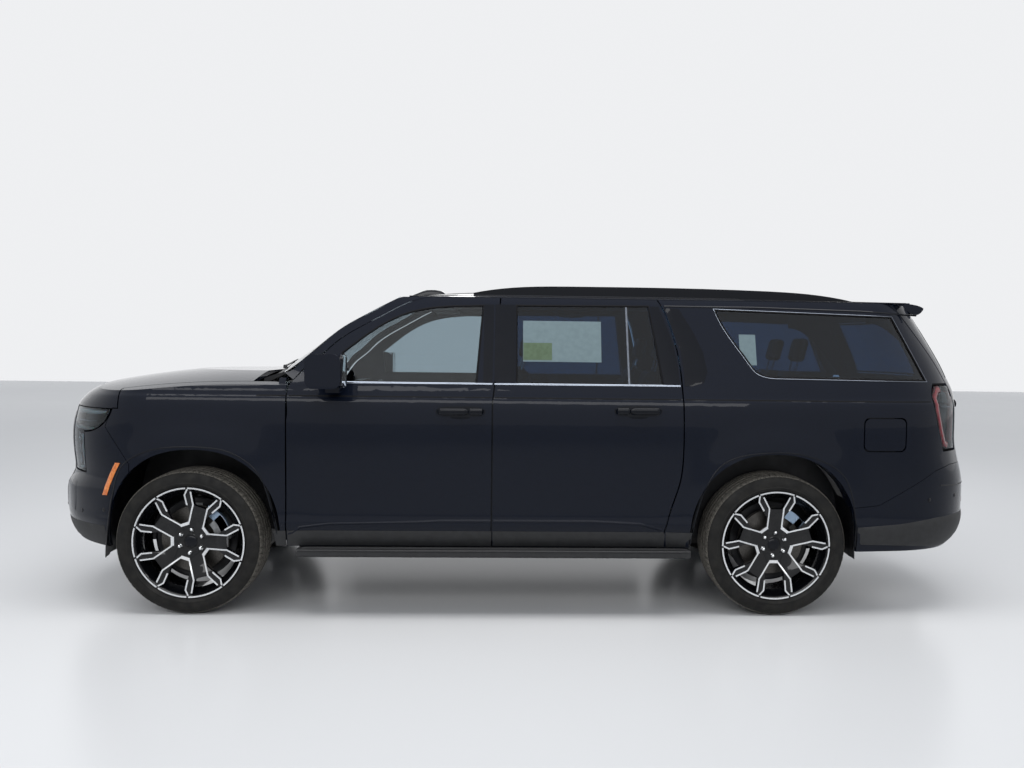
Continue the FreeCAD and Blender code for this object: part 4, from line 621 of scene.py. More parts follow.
def wheel_form(turn):
    """Cast alloy wheel with Y spokes, machined edge lines, lug nuts and brake disc, outer face at -y."""
    form = Form()
    front = -RIM_HALF
    lathe(form, [(322, front + 1), (322, front + 8), (304, front + 14), (304, front + 44),
            (282, front + 62), (282, 68), (304, 90), (304, 117), (322, 123), (322, 130), (315, 131),
            (297, 118), (295, 88), (274, 66), (274, front + 64), (294, front + 40), (300, front + 22),
            (309, front + 5), (314, front + 1), (318, front)], gloss_black_wheel_enamel, 120)
    half = [(60, 41.5), (152, 41.5), (204, 78), (256, 109.5), (303, 104), (310, 92), (286, 75), (219, 38.5),
            (214, 30)]
    outline = half + [(x, -z) for x, z in reversed(half)]
    cuts = [70 + 12 * i for i in range(20)]
    for i in range(SPOKES):
        arm = Form()
        slab(arm, outline, front, front + 34, gloss_black_wheel_enamel, face_depth, cuts, 3.0)
        edge = subdivided([(98.9, 42.5), (217, 42.5), (285, 79)], 12)
        bracket = subdivided([(204, 74), (256, 105), (301, 100), (304, 97)], 12)
        for sign in (1, -1):
            for line in (edge, bracket):
                ribbon(arm, [(x, z * sign) for x, z in line], LINE, front - 2.2, front + 6,
                        machined_aluminium, face_depth)
        for start, end, count in ((-18.6, 18.6, 28), (20.6, 51.4, 24)):
            ribbon(arm, arc(315.5, start, end, count), LINE, front - 1.2, front + 4, machined_aluminium)
        ribbon(arm, subdivided([(99.5, 40.5), turned([(99.5, -40.5)], 360.0 / SPOKES)[0]], 10), 17.0,
                front - 2.4, front + 12, machined_aluminium, face_depth)
        web = [(66, 0), (88, 30), (101, 37)] + turned([(101, -37), (88, -30), (66, 0)], 360.0 / SPOKES)
        slab(arm, web, front + 2, front + 36, gloss_black_wheel_enamel, face_depth)
        form.merge(about_axle(arm, turn + i * 360.0 / SPOKES))
    face = front + RECESS
    lathe(form, [(0.01, face + 1), (36, face + 1), (38, face - 1), (41, face - 1), (43, face + 1),
            (86, face + 1), (88, face + 3), (88, face + 44), (0.01, face + 44)], gloss_black_wheel_enamel,
            72, closed=False)
    lathe(form, [(0.01, face - 7), (20, face - 6), (30, face - 3.5), (34.5, face), (34.5, face + 4)],
            piano_black_moulding, 60, closed=False)
    for i in range(6):
        a = math.radians(24.5 + 60 * i)
        cx, cz = LUG_CIRCLE * math.cos(a), LUG_CIRCLE * math.sin(a)
        well, nut = Form(), Form()
        lathe(well, [(18, face + 1.2), (19.5, face - 0.4), (21, face + 1.2)], gloss_black_wheel_enamel, 24)
        lathe(nut, [(0.01, face - 17), (5, face - 16.4), (8.6, face - 13.5), (10.4, face - 8), (10.6, face),
                (14, face + 1.5)], machined_aluminium, 6, closed=False)
        for part in (well, nut):
            form.merge(part.moved(lambda p: Vector((p.x + cx, p.y, p.z + cz))))
    near, far = DISC_NEAR, DISC_FAR
    lathe(form, [(84, face + 40), (84, near - 2), (104, near), (193, near), (195, near + 2),
            (195, near + 10), (188, near + 11), (188, far - 11), (195, far - 10), (195, far - 2),
            (193, far), (84, far)], turned_cast_iron, 96)
    for i in range(48):
        vane = Form()
        slab(vane, [(150, -1.8), (192, -1.8), (192, 1.8), (150, 1.8)], near + 8, far - 8, turned_cast_iron)
        form.merge(about_axle(vane, i * 7.5))
    return form


def tyre_form():
    """Low-profile road tyre: moulded sidewall rings, four grooves and siped shoulder blocks."""
    form = Form()
    pitches, block = 72, (0.0, 0.86, 0.885, 0.975)
    side = [(304.6, -116.3), (313, -119.5), (322.4, -123.5), (326, -129), (333, -134.5), (338, -139.5),
            (342, -142.2), (346, -142.6), (349, -141.3), (356, -141.8), (368, -141.6), (380, -139.6),
            (388, -137.0), (391, -135.9), (394, -134.9), (400, -131.6), (406, -126.5)]
    crown = [(411, -119), (414, -108), (415.4, -96), (416.2, -84), (416.4, -74), (409.6, -72), (409.6, -62),
            (417, -60), (417.9, -44), (418, -30), (411, -28), (411, -17), (418.4, -15), (418.8, 0)]
    crown = crown + [(r, -y) for r, y in reversed(crown[:-1])]
    profile = side + crown + [(r, -y) for r, y in reversed(side)]
    inner = [(330, 121), (398, 118), (398, -118), (330, -121)]
    ring = profile + inner
    angles, kinds = [], []
    for i in range(pitches):
        for share in block:
            angles.append(2 * math.pi * (i + share) / pitches)
            kinds.append(share)
    points = []
    for angle, kind in zip(angles, kinds):
        for r, y in ring:
            across = abs(y)
            lag = 0.028 * (across / 120.0) ** 2 if across < 121 else 0.028
            if kind > 0.87 and 76 < across < 127 and r > 405:
                r -= 5.5 if across < 115 else 3.0
            if kind > 0.87 and 28.5 < across < 61 and r > 412:
                r -= 2.2
            turn = angle + lag
            points.append((r * math.cos(turn), y, r * math.sin(turn)))
    count, total = len(ring), len(angles)
    form.add(points, net(total, count, True, True), vulcanised_rubber)
    tread = [j < len(profile) - 1 and ring[j][0] > 404 and ring[j + 1][0] > 404 for j in range(count)]
    # The lighter tread colour is partly floor dust and partly painted light against the arch's shade.
    form.finishes = [dust_and_painted_light_tread_rubber if worn else vulcanised_rubber for worn in tread * total]
    return form


def build_wheels():
    """Four wheels and tyres, each in place of its node; the right side is the mirror image."""
    rubber = tyre_form()
    for axle, x, turn in (("front", FRONT_AXLE, 0.0), ("rear", REAR_AXLE, 18.0)):
        alloy = wheel_form(turn)
        for side, sign in (("left", -1.0), ("right", 1.0)):
            body = "wheel_%s_%s" % (axle, side)

            def placed(p):
                return Vector((p.x + x, -sign * p.y + sign * WHEEL_Y, p.z + WHEEL_Z))

            wheel = alloy.copy().moved(placed)
            tyre = rubber.copy().moved(placed)
            if sign > 0:
                wheel, tyre = wheel.flipped(), tyre.flipped()
            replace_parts(wheel.piece("alloy_wheel_%s_%s" % (axle, side), body, "wheel_metal", 30.0,
                    weld=False), body)
            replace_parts(tyre.piece("road_tyre_%s_%s" % (axle, side), body, "rubber", 24.0, weld=False),
                    "tyre_%s_%s" % (axle, side))


# Laying pieces on the body
LEFT, FRONT, BACK, TOP, NOSE, TAIL = "left", "front", "back", "top", "nose", "tail"
OUTWARD = {
        LEFT: Vector((0, -1, 0)),
        FRONT: Vector((-1, 0, 0)),
        BACK: Vector((1, 0, 0)),
        TOP: Vector((0, 0, 1))}
# Round the front and rear corners a place is an arc length from straight ahead, and a height
CORNERS = {NOSE: (-2150.0, -450.0, 560.0, -1.0), TAIL: (2200.0, -500.0, 520.0, 1.0)}


def outward(side, a):
    """Way out of the surface at a place on that side."""
    if side in OUTWARD:
        return OUTWARD[side]
    _, _, radius, ahead = CORNERS[side]
    return Vector((ahead * math.cos(a / radius), -math.sin(a / radius), 0.0))


class Skin:
    """The outer surface of some nodes, found by looking at it square from one side."""

    def __init__(self, *nodes):
        points, faces = [], []
        for node in nodes:
            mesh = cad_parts[node].data
            start = len(points)
            points += [v.co / MM for v in mesh.vertices]
            faces += [tuple(start + i for i in p.vertices) for p in mesh.polygons]
        self.tree = BVHTree.FromPolygons(points, faces)

    def hit(self, side, a, b):
        out = outward(side, a)
        if side in CORNERS:
            start = Vector((CORNERS[side][0], CORNERS[side][1], b)) + out * 1400.0
        else:
            start = {
                    LEFT: (a, -1500.0, b),
                    FRONT: (-3300.0, a, b),
                    BACK: (3300.0, a, b),
                    TOP: (a, b, 2300.0)}[side]
        return self.tree.ray_cast(Vector(start), -out)[0]

    def round(self, side, places):
        """The same places given round a corner, from lengthwise and upright places seen from the left."""
        centre_x, centre_y, radius, ahead = CORNERS[side]
        out = []
        for x, z in places:
            y = self.at(LEFT, x, z).y
            out.append((radius * math.atan2(centre_y - y, ahead * (x - centre_x)), z))
        return out

    def at(self, side, a, b):
        """Place on the surface, or beside it where the look falls in a gap."""
        place = self.hit(side, a, b)
        reach = 4.0
        while place is None and reach < 200.0:
            near = []
            for i in range(8):
                turn = math.pi * i / 4
                found = self.hit(side, a + reach * math.cos(turn), b + reach * math.sin(turn))
                if found is not None:
                    near.append(found)
            if near:
                place = sum(near, Vector()) / len(near)
            reach *= 1.5
        if place is None:
            raise ValueError("no surface at %s %.0f %.0f" % (side, a, b))
        if side == LEFT:
            return Vector((a, place.y, b))
        if side == TOP:
            return Vector((a, b, place.z))
        if side in CORNERS:
            out = outward(side, a)
            middle = Vector((CORNERS[side][0], CORNERS[side][1], b))
            return middle + out * out.dot(place - middle)
        return Vector((place.x, a, b))


def patch(form, skin, side, outline, lift, depth, maker, step=30.0, edge=0.0):
    """A plate with that outline on the skin, its face lift outside it and its back depth further in."""
    work = bmesh.new()
    work.faces.new([work.verts.new((a, b, 0.0)) for a, b in outline])
    for axis in (0, 1):
        low, high = min(p[axis] for p in outline), max(p[axis] for p in outline)
        count = int((high - low) / step)
        way = Vector((1.0 - axis, float(axis), 0.0))
        for i in range(1, count + 1):
            bmesh.ops.bisect_plane(work, geom=work.verts[:] + work.edges[:] + work.faces[:], plane_no=way,
                    plane_co=way * (low + (high - low) * i / (count + 1)))
    work.verts.index_update()
    flat = [v.co.copy() for v in work.verts]
    faces = [[v.index for v in f.verts] for f in work.faces]
    rim = [(loop.vert.index,
            loop.link_loop_next.vert.index) for f in work.faces for loop in f.loops if
            loop.edge.is_boundary]
    work.free()
    ways = [outward(side, p.x) for p in flat]
    fronts = [skin.at(side, p.x, p.y) + way * lift for p, way in zip(flat, ways)]
    backs = [p - way * depth for p, way in zip(fronts, ways)]
    for i in {a for a, _ in rim} if edge else ():
        fronts[i] = fronts[i] - ways[i] * edge
    start = len(flat)
    faces += [[start + i for i in reversed(f)] for f in faces]
    faces += [[b, a, start + a, start + b] for a, b in rim]
    form.add(fronts + backs, faces, maker)


def strip(form, skin, side, path, width, lift, depth, maker, step=25.0, crown=0.0, closed=False):
    """A strip on the skin along a path, crowned across; its width may be a function of the way along."""
    path = subdivided(path + ([path[0]] if closed else []), step)
    if closed:
        path = path[:-1]
    count = len(path)
    rows = []
    for i, (a, b) in enumerate(path):
        wide = width(i / max(1, count - 1)) if callable(width) else width
        half = crosswise(path, i, closed, 0.5) * wide / 2
        for t, up in (
                (-1.0, -depth),
                (-1.0, 0.0),
                (-0.55, crown * 0.8),
                (0.0, crown),
                (0.55, crown * 0.8),
                (1.0, 0.0),
                (1.0, -depth)):
            rows.append(skin.at(side, a + half.x * t, b + half.y * t) + outward(side, a) * (lift + up))
    add_rows(form, rows, count, maker, closed)


def both_sides(form, name, body, slot, sharp=40.0):
    """The left piece, given back, and its mirror image, each riding on its own side's body."""
    made = form.piece(name + "_left", body.replace("SIDE", "left"), slot, sharp)
    other = form.copy().moved(lambda p: Vector((p.x, -p.y, p.z))).flipped()
    other.piece(name + "_right", body.replace("SIDE", "right"), slot, sharp)
    return made


def smooth_path(points, count=40):
    """A smooth curve through the points, as a list of points."""
    out = []
    padded = [points[0]] + list(points) + [points[-1]]
    spans = len(points) - 1
    per = max(2, count // spans)
    for i in range(spans):
        p0, p1, p2, p3 = padded[i:i + 4]
        for j in range(per):
            t = j / per
            out.append(tuple(0.5 * (2 * b + (c - a) * t + (2 * a - 5 * b + 4 * c - d) * t * t +
                    (3 * b - a - 3 * c + d) * t ** 3) for a, b, c, d in zip(p0, p1, p2, p3)))
    return out + [tuple(points[-1])]


def box_form(form, low, high, maker, edge=0.0):
    """A block between two corners with its edges rounded."""
    work = bmesh.new()
    bmesh.ops.create_cube(work, size=1.0)
    for v in work.verts:
        v.co = Vector([low[k] + (high[k] - low[k]) * (v.co[k] + 0.5) for k in range(3)])
    if edge:
        bmesh.ops.bevel(work, geom=list(work.edges), offset=edge, segments=3, profile=0.6, affect="EDGES",
                clamp_overlap=True)
    work.verts.index_update()
    form.add([v.co for v in work.verts], [[v.index for v in f.verts] for f in work.faces], maker)
    work.free()


def tube(form, path, radius, maker, sides=12, closed=False, flat=1.0):
    """A round rod or bead along a 3-D path."""
    count = len(path)
    points = []
    up = Vector((0, 0, 1))
    for i, place in enumerate(path):
        before = Vector(path[i - 1] if i or closed else path[i])
        after = Vector(path[(i + 1) % count] if i < count - 1 or closed else path[i])
        along = (after - before).normalized()
        side = along.cross(up if abs(along.z) < 0.9 else Vector((1, 0, 0))).normalized()
        rise = side.cross(along).normalized()
        size = radius(i / max(1, count - 1)) if callable(radius) else radius
        for turn in circle(sides):
            points.append(Vector(place) + side * size * math.cos(turn) + rise * size * flat * math.sin(turn))
    add_rows(form, points, count, maker, closed)


def loft(form, sections, maker, capped=True, closed=True):
    """A skin drawn over a row of sections with the same number of points."""
    size = len(sections[0])
    faces = net(len(sections), size, False, closed)
    if capped:
        faces += [tuple(reversed(range(size))), tuple((len(sections) - 1) * size + j for j in range(size))]
    form.add([p for section in sections for p in section], faces, maker)


# Wheel arches and cladding
ARCH_FRONT = [(-2355, 330), (-2352, 400), (-2338, 540), (-2316, 680), (-2263, 840), (-2140, 927),
        (-1990, 963), (-1781, 964), (-1644, 938), (-1522, 859), (-1455, 748), (-1414, 602), (-1375, 430),
        (-1366, 400)]
ARCH_REAR = [(1008, 404), (1012, 423), (1034, 559), (1087, 737), (1168, 873), (1273, 933), (1428, 959),
        (1607, 957), (1772, 913), (1882, 842), (1935, 750), (1968, 607), (1979, 413), (1982, 340)]


def scaled(outline, x, across, up):
    """The outline grown about the wheel's centre."""
    return [(x + (a - x) * across, WHEEL_Z + (b - WHEEL_Z) * up) for a, b in outline]


def build_wheelhouses():
    """Moulded liners that close each wheel arch, open towards the road and where the axle comes through."""
    for axle, x, outline, inner, wide, notch in (("front", FRONT_AXLE, ARCH_FRONT, 482.0, 1.085, 700.0),
            ("rear", REAR_AXLE, ARCH_REAR, 702.0, 1.03, 640.0)):
        form = Form()
        curve = smooth_path(outline, 52)
        sections = []
        for y, across, up in (
                (986, 1.004, 1.006),
                (970, 1.022, 1.02),
                (900, (1 + wide) / 2, 1.024),
                (840, wide, 1.026),
                (inner + 30, wide, 1.026),
                (inner, wide - 0.02, 1.01)):
            near = scaled(curve, x, across, up)
            far = scaled(curve, x, across + 0.01, up + 0.01)
            loop = near + far[::-1]
            sections.append([Vector((a, -y, b)) for a, b in loop])
        loft(form, sections, satin_black_moulding)
        plate = scaled(curve, x, wide - 0.01, 1.02)
        plate += [(x + 205, plate[-1][1]), (x + 205, notch - 60), (x + 150, notch), (x - 150, notch),
                (x - 205, notch - 60), (x - 205, plate[0][1])]
        slab(form, plate, -inner, -inner + 4, satin_black_moulding)
        both_sides(form, "wheelhouse_liner_" + axle, "body", "trim")


def build_cladding():
    """Grained mouldings along the foot of doors, sills and bumpers, and the beads round the arches."""
    for name, body, node, outline in (
            ("sill_cladding_front", "body", "fender_left", [(-1387, 406), (-1332, 406), (-1332, SKIRT_TOP),
                (-1402, SKIRT_TOP)]),
            ("door_cladding_front", "door_front_SIDE", "door_front_left",
                [(-1322, FOOT), (-155, FOOT), (-155, SKIRT_TOP), (-1322, SKIRT_TOP)]),
            ("door_cladding_rear", "door_rear_SIDE", "door_rear_left",
                [(-146, FOOT), (855, FOOT), (855, 480), (850, SKIRT_TOP), (-146, SKIRT_TOP)]),
            ("sill_cladding_rear", "body", "body_side_left", [(866, FOOT), (1000, FOOT), (1016, SKIRT_TOP),
                (862, SKIRT_TOP)])):
        form = Form()
        patch(form, Skin(node), LEFT, outline, 5.0, 9.0, grained_moulding, 45.0, 3.0)
        both_sides(form, name, body, "trim")
    bumper = Skin("front_bumper", "fender_left")
    form = Form()
    foot = bumper.round(NOSE, [(-2352, 388)])[0][0]
    patch(form, bumper, NOSE, [(0, 386), (foot, 388), (foot - 12, 508), (0, 508)], 4.0, 9.0,
            grained_moulding, 30.0, 3.0)
    both_sides(form, "bumper_foot_front", "body", "trim")
    form = Form()
    patch(form, bumper, FRONT, [(-449.5, 386), (449.5, 386), (449.5, 508), (-449.5, 508)], 4.0, 9.0,
            grained_moulding, 40.0, 3.0)
    form.piece("bumper_foot_middle", "body", "trim")
    tail = Skin("rear_bumper", "body_side_left")
    form = Form()
    line = tail.round(TAIL, [(1990, 430), (2120, 425), (2254, 420), (2400, 410), (2490, 402), (2490, 580),
            (2254, 551), (1990, 534)])
    outline = line[:5] + [(380, 396), (0, 394), (0, 590), (380, 586)] + line[5:]
    patch(form, tail, TAIL, outline, 4.0, 9.0, grained_moulding, 30.0, 3.0)
    both_sides(form, "bumper_foot_rear", "body", "trim")
    form = Form()
    patch(form, tail, BACK, [(-499.5, 394), (499.5, 394), (499.5, 590), (-499.5, 590)], 4.0, 9.0,
            grained_moulding, 40.0, 3.0)
    form.piece("bumper_foot_tail", "body", "trim")
    sides = Skin("fender_left", "body_side_left", "front_bumper", "rear_bumper")
    for axle, x, outline in (("front", FRONT_AXLE, ARCH_FRONT[1:-1]), ("rear", REAR_AXLE, ARCH_REAR[1:-1])):
        form = Form()
        strip(form, sides, LEFT, scaled(smooth_path(outline, 60), x, 1.012, 1.014), 7.0, 1.0, 12.0,
                piano_black_moulding, 26.0, 1.5)
        both_sides(form, "arch_bead_" + axle, "body", "trim")


def build_creases():
    """Painted shade as a dark strip in the shoulder groove, and the raised crease along the foot of the
    doors.
    """
    for name, body, node, x0, x1 in (
            ("fender", "body", "fender_left", -1500.0, -1334.0),
            ("door_front", "door_front_SIDE", "door_front_left", -1318.0, -158.0),
            ("door_rear", "door_rear_SIDE", "door_rear_left", -142.0, 940.0),
            ("quarter", "body", "body_side_left", 962.0, 2440.0)):
        form = Form()
        # Painted shade: a matte dark strip where the groove is only in shade.
        strip(form, Skin(node), LEFT, [(x0, GROOVE), (x1, GROOVE)], 7.0, 0.4, 2.0, extruded_seal, 40.0, 0.3)
        both_sides(form, "painted_groove_shade_" + name, body, "trim")
    crest = ([(-1318, 478), (-1290, 484), (-1251, 516), (-1080, 537), (-565, 549), (-450, 556),
            (-158, 557)], [(-142, 557), (419, 558), (711, 545), (836, 510)])
    for row, line in zip(("front", "rear"), crest):
        form = Form()
        strip(form, Skin("door_%s_left" % row), LEFT, line, 15.0, 0.0, 2.0, baked_black_enamel, 30.0, 3.2)
        both_sides(form, "foot_crease_" + row, "door_%s_SIDE" % row, "paint")


# Windows
def outline_of(node):
    """Outline of a node seen from the left, lowest rear corner first, going round."""
    places = sorted({(round(v.co.x / MM, 1),
            round(v.co.z / MM, 1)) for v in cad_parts[node].data.vertices})
    rounds = []
    for run in (places, places[::-1]):
        side = []
        for p in run:
            while len(side) > 1 and ((side[-1][0] - side[-2][0]) * (p[1] - side[-2][1]) -
                    (side[-1][1] - side[-2][1]) * (p[0] - side[-2][0])) <= 0:
                side.pop()
            side.append(p)
        rounds += side[:-1]
    return rounds


def grown(outline, by):
    """The outline moved outwards from its middle by about that much."""
    count = len(outline)
    area = sum(a[0] * b[1] - b[0] * a[1] for a, b in zip(outline, outline[1:] + outline[:1]))
    turn = 1.0 if area > 0 else -1.0
    out = []
    for i, p in enumerate(outline):
        before, after = outline[i - 1], outline[(i + 1) % count]
        first, second = Vector((p[0] - before[0], p[1] - before[1])), Vector((after[0] - p[0],
                after[1] - p[1]))
        first, second = first.normalized(), second.normalized()
        side = Vector((first.y + second.y, -first.x - second.x)) * turn
        side = side.normalized()
        share = max(0.5, side.dot(Vector((first.y, -first.x)) * turn))
        out.append((p[0] + side.x * by / share, p[1] + side.y * by / share))
    return out


def build_windows():
    """Seals, sill strips, pillar covers and the fixed pane's divider."""
    for row in ("front", "rear"):
        glass, door = "glass_%s_left" % row, "door_%s_left" % row
        both = Skin(glass, door)
        line = outline_of(glass)
        form = Form()
        strip(form, both, LEFT, grown(line, 3.0), 12.0, 0.5, 9.0, extruded_seal, 40.0, 2.0, closed=True)
        both_sides(form, "window_seal_" + row, "door_%s_SIDE" % row, "rubber")
    skin = Skin("door_front_left")
    form = Form()
    strip(form, skin, LEFT, [(-1112, SILL), (-156, SILL)], 11.0, 1.0, 6.0, bright_rolled_trim, 60.0, 3.0)
    both_sides(form, "sill_strip_front", "door_front_SIDE", "trim")
    form = Form()
    patch(form, skin, LEFT, [(-209, COVER_FOOT), (-156, COVER_FOOT), (-152, 1813), (-209, 1812)], 3.0, 5.0,
            piano_black_moulding, 40.0, 2.0)
    both_sides(form, "pillar_cover_front", "door_front_SIDE", "trim")
    form = Form()
    patch(form, skin, LEFT, [(-1118, COVER_FOOT), (-1036, COVER_FOOT), (-1036, 1470), (-1060, 1452)], 3.0,
            5.0, satin_black_moulding, 20.0, 2.0)
    both_sides(form, "mirror_sail", "door_front_SIDE", "trim")
    skin = Skin("door_rear_left")
    form = Form()
    strip(form, skin, LEFT, [(-144, SILL), (938, SILL)], 11.0, 1.0, 6.0, bright_rolled_trim, 60.0, 3.0)
    both_sides(form, "sill_strip_rear", "door_rear_SIDE", "trim")
    form = Form()
    patch(form, skin, LEFT, [(-144, COVER_FOOT), (-27, COVER_FOOT), (-27, 1814), (-144, 1814)], 3.0, 5.0,
            piano_black_moulding, 40.0, 2.0)
    patch(form, skin, LEFT, [(846, COVER_FOOT), (936, COVER_FOOT), (926, 1480), (904, 1600), (858, 1730),
            (826, 1814), (776, 1814), (800, 1640), (832, 1440)], 3.0, 5.0, piano_black_moulding, 40.0, 2.0)
    both_sides(form, "pillar_cover_rear", "door_rear_SIDE", "trim")
    both = Skin("glass_rear_left", "door_rear_left")
    form = Form()
    strip(form, both, LEFT, [(640, 1356), (632, 1808)], 11.0, 2.0, 12.0, bright_rolled_trim, 60.0, 2.5)
    both_sides(form, "pane_divider", "door_rear_SIDE", "trim")
    both = Skin("quarter_glass", "body_side_left")
    line = outline_of("quarter_glass")
    form = Form()
    strip(form, both, LEFT, grown(line, 2.0), 10.0, 1.0, 8.0, extruded_seal, 40.0, 2.0, closed=True)
    strip(form, both, LEFT, grown(line, 9.0), 5.0, 1.0, 6.0, bright_rolled_trim, 40.0, 2.5, closed=True)
    both_sides(form, "quarter_seal", "body", "trim")
    skin = Skin("body_side_left")
    form = Form()
    band = [(1010, 1349), (1079, 1370), (1101, 1431), (1080, 1549), (1030, 1660), (947, 1803), (852, 1806),
            (905, 1680), (946, 1558), (962, 1440), (964, 1349)]
    patch(form, skin, LEFT, band, 3.0, 5.0, piano_black_moulding, 35.0, 2.0)
    both_sides(form, "quarter_cover", "body", "trim")
    form = Form()
    strip(form, skin, LEFT, [(860, 1817), (1400, 1817), (2050, 1803), (2400, 1784)], 10.0, 1.0, 5.0,
            piano_black_moulding, 60.0, 2.0)
    both_sides(form, "roof_line_bead", "body", "trim")


# Handles, marker, mirror, boards
def grip(form, skin, start, end, z0, z1, first, last):
    """A grab bar along the side: first and last off the skin at its ends, standing further off in between."""
    height, thick, stand = 38.0, 11.0, 26.0
    sections = []
    for i in range(25):
        t = i / 24.0
        x, z = start + (end - start) * t, z0 + (z1 - z0) * t
        rise = min(1.0, math.sin(math.pi * t) * 2.6) ** 0.6
        low = first * (1 - t) + last * t
        away = low + (stand - low) * rise
        full = 0.35 + 0.65 * rise
        base = skin.at(LEFT, x, z)
        sections.append([base + Vector((0.0, -away - thick * full * math.sin(a),
                height / 2 * full * bent(math.cos(a), 0.7))) for a in circle(20)])
    loft(form, sections, piano_black_moulding)


def oval(x, z, wide, high, count=28, power=0.75):
    """Outline of a rounded oval seen from the left."""
    return [(x + wide / 2 * bent(math.cos(a), power), z + high / 2 * bent(math.sin(a),
            power)) for a in circle(count)]


def build_handles():
    """Outside handles: grip, end cap and the finger cup behind them."""
    for row, x0, x1, split, z0, z1 in (("front", -472, -202, -292, 1190, 1192),
            ("rear", 555, 821, 640, 1202, 1204)):
        skin = Skin("door_%s_left" % row)
        form = Form()
        middle = (x0 + x1) / 2
        patch(form, skin, LEFT, oval(middle, (z0 + z1) / 2, x1 - x0 + 14, 58), 0.8, 4.0,
                piano_black_moulding, 20.0, 0.6)
        patch(form, skin, LEFT, oval(middle, z0 - 26, 118, 34), 1.2, 4.0, piano_black_moulding, 15.0, 0.8)
        grip(form, skin, x0, split - 1.5, z0, z0 + 1, 3.0, 24.0)
        grip(form, skin, split + 1.5, x1, z0 + 1, z1, 24.0, 3.0)
        both_sides(form, "door_handle_" + row, "door_%s_SIDE" % row, "trim")


def build_side_lamp():
    """Amber marker in the bumper's side, ahead of the wheel."""
    skin = Skin("front_bumper", "fender_left")
    form = Form()
    rim = [(-2305, 881), (-2262, 881), (-2300, 812), (-2332, 740), (-2351, 681), (-2397, 681), (-2376, 742),
            (-2344, 812)]
    patch(form, skin, LEFT, rim, 1.0, 6.0, piano_black_moulding, 16.0, 0.5)
    lens = [(-2302, 876), (-2269, 876), (-2305, 812), (-2337, 742), (-2357, 686), (-2391, 686),
            (-2370, 742), (-2338, 812)]
    patch(form, skin, LEFT, lens, 4.0, 6.0, amber_lens_moulding, 12.0, 1.6)
    both_sides(form, "side_marker", "body", "lens")


def build_boards():
    """Tread strips, rubber pads and edge bead of the running boards."""
    form = Form()
    for i, y in enumerate((1048, 1036, 1024, 1012)):
        tube(form, [(-1240, -y, 399), (-1200, -y, 401), (955, -y, 401), (985, -y, 399)], 2.6,
                satin_black_moulding, 8)
    for x in [-1190 + 24 * i for i in range(89)]:
        box_form(form, (x, -1045, 397.5), (x + 9, -985, 400.6), vulcanised_rubber)
    tube(form, [(-1258, -1060, 389), (-1200, -1065, 390), (960, -1065, 390), (996, -1060, 389)], 3.2,
            satin_black_moulding, 10)
    both_sides(form, "board_tread", "body", "trim")


def build_mirrors():
    """Mirror glass in its bezel."""
    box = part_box("mirror_left")
    high = [v / MM for v in box[1]]
    form = Form()
    plate = oval(0, 0, 178, 176, 32, 0.5)
    glass = [Vector((high[0] + 1.0, -1135 + a * 0.93, 1418 + b)) for a, b in plate]
    rim = [Vector((high[0] - 6.0, -1135 + a * 1.05, 1418 + b * 1.07)) for a, b in plate]
    lip = [Vector((high[0] + 4.0, -1135 + a * 1.01, 1418 + b * 1.03)) for a, b in plate]
    loft(form, [rim, lip, glass], piano_black_moulding, capped=False)
    form.add(glass, [tuple(range(len(glass)))], silvered_mirror)
    form.add(rim, [tuple(reversed(range(len(rim))))], piano_black_moulding)
    both_sides(form, "mirror_glass", "door_front_SIDE", "glass")


# Front end
def tapered(wide, narrow, start):
    """Width along a strip: wide up to a share of its length, then narrowing to its end."""
    return lambda t: wide - (wide - narrow) * max(0.0, t - start) / (1.0 - start)


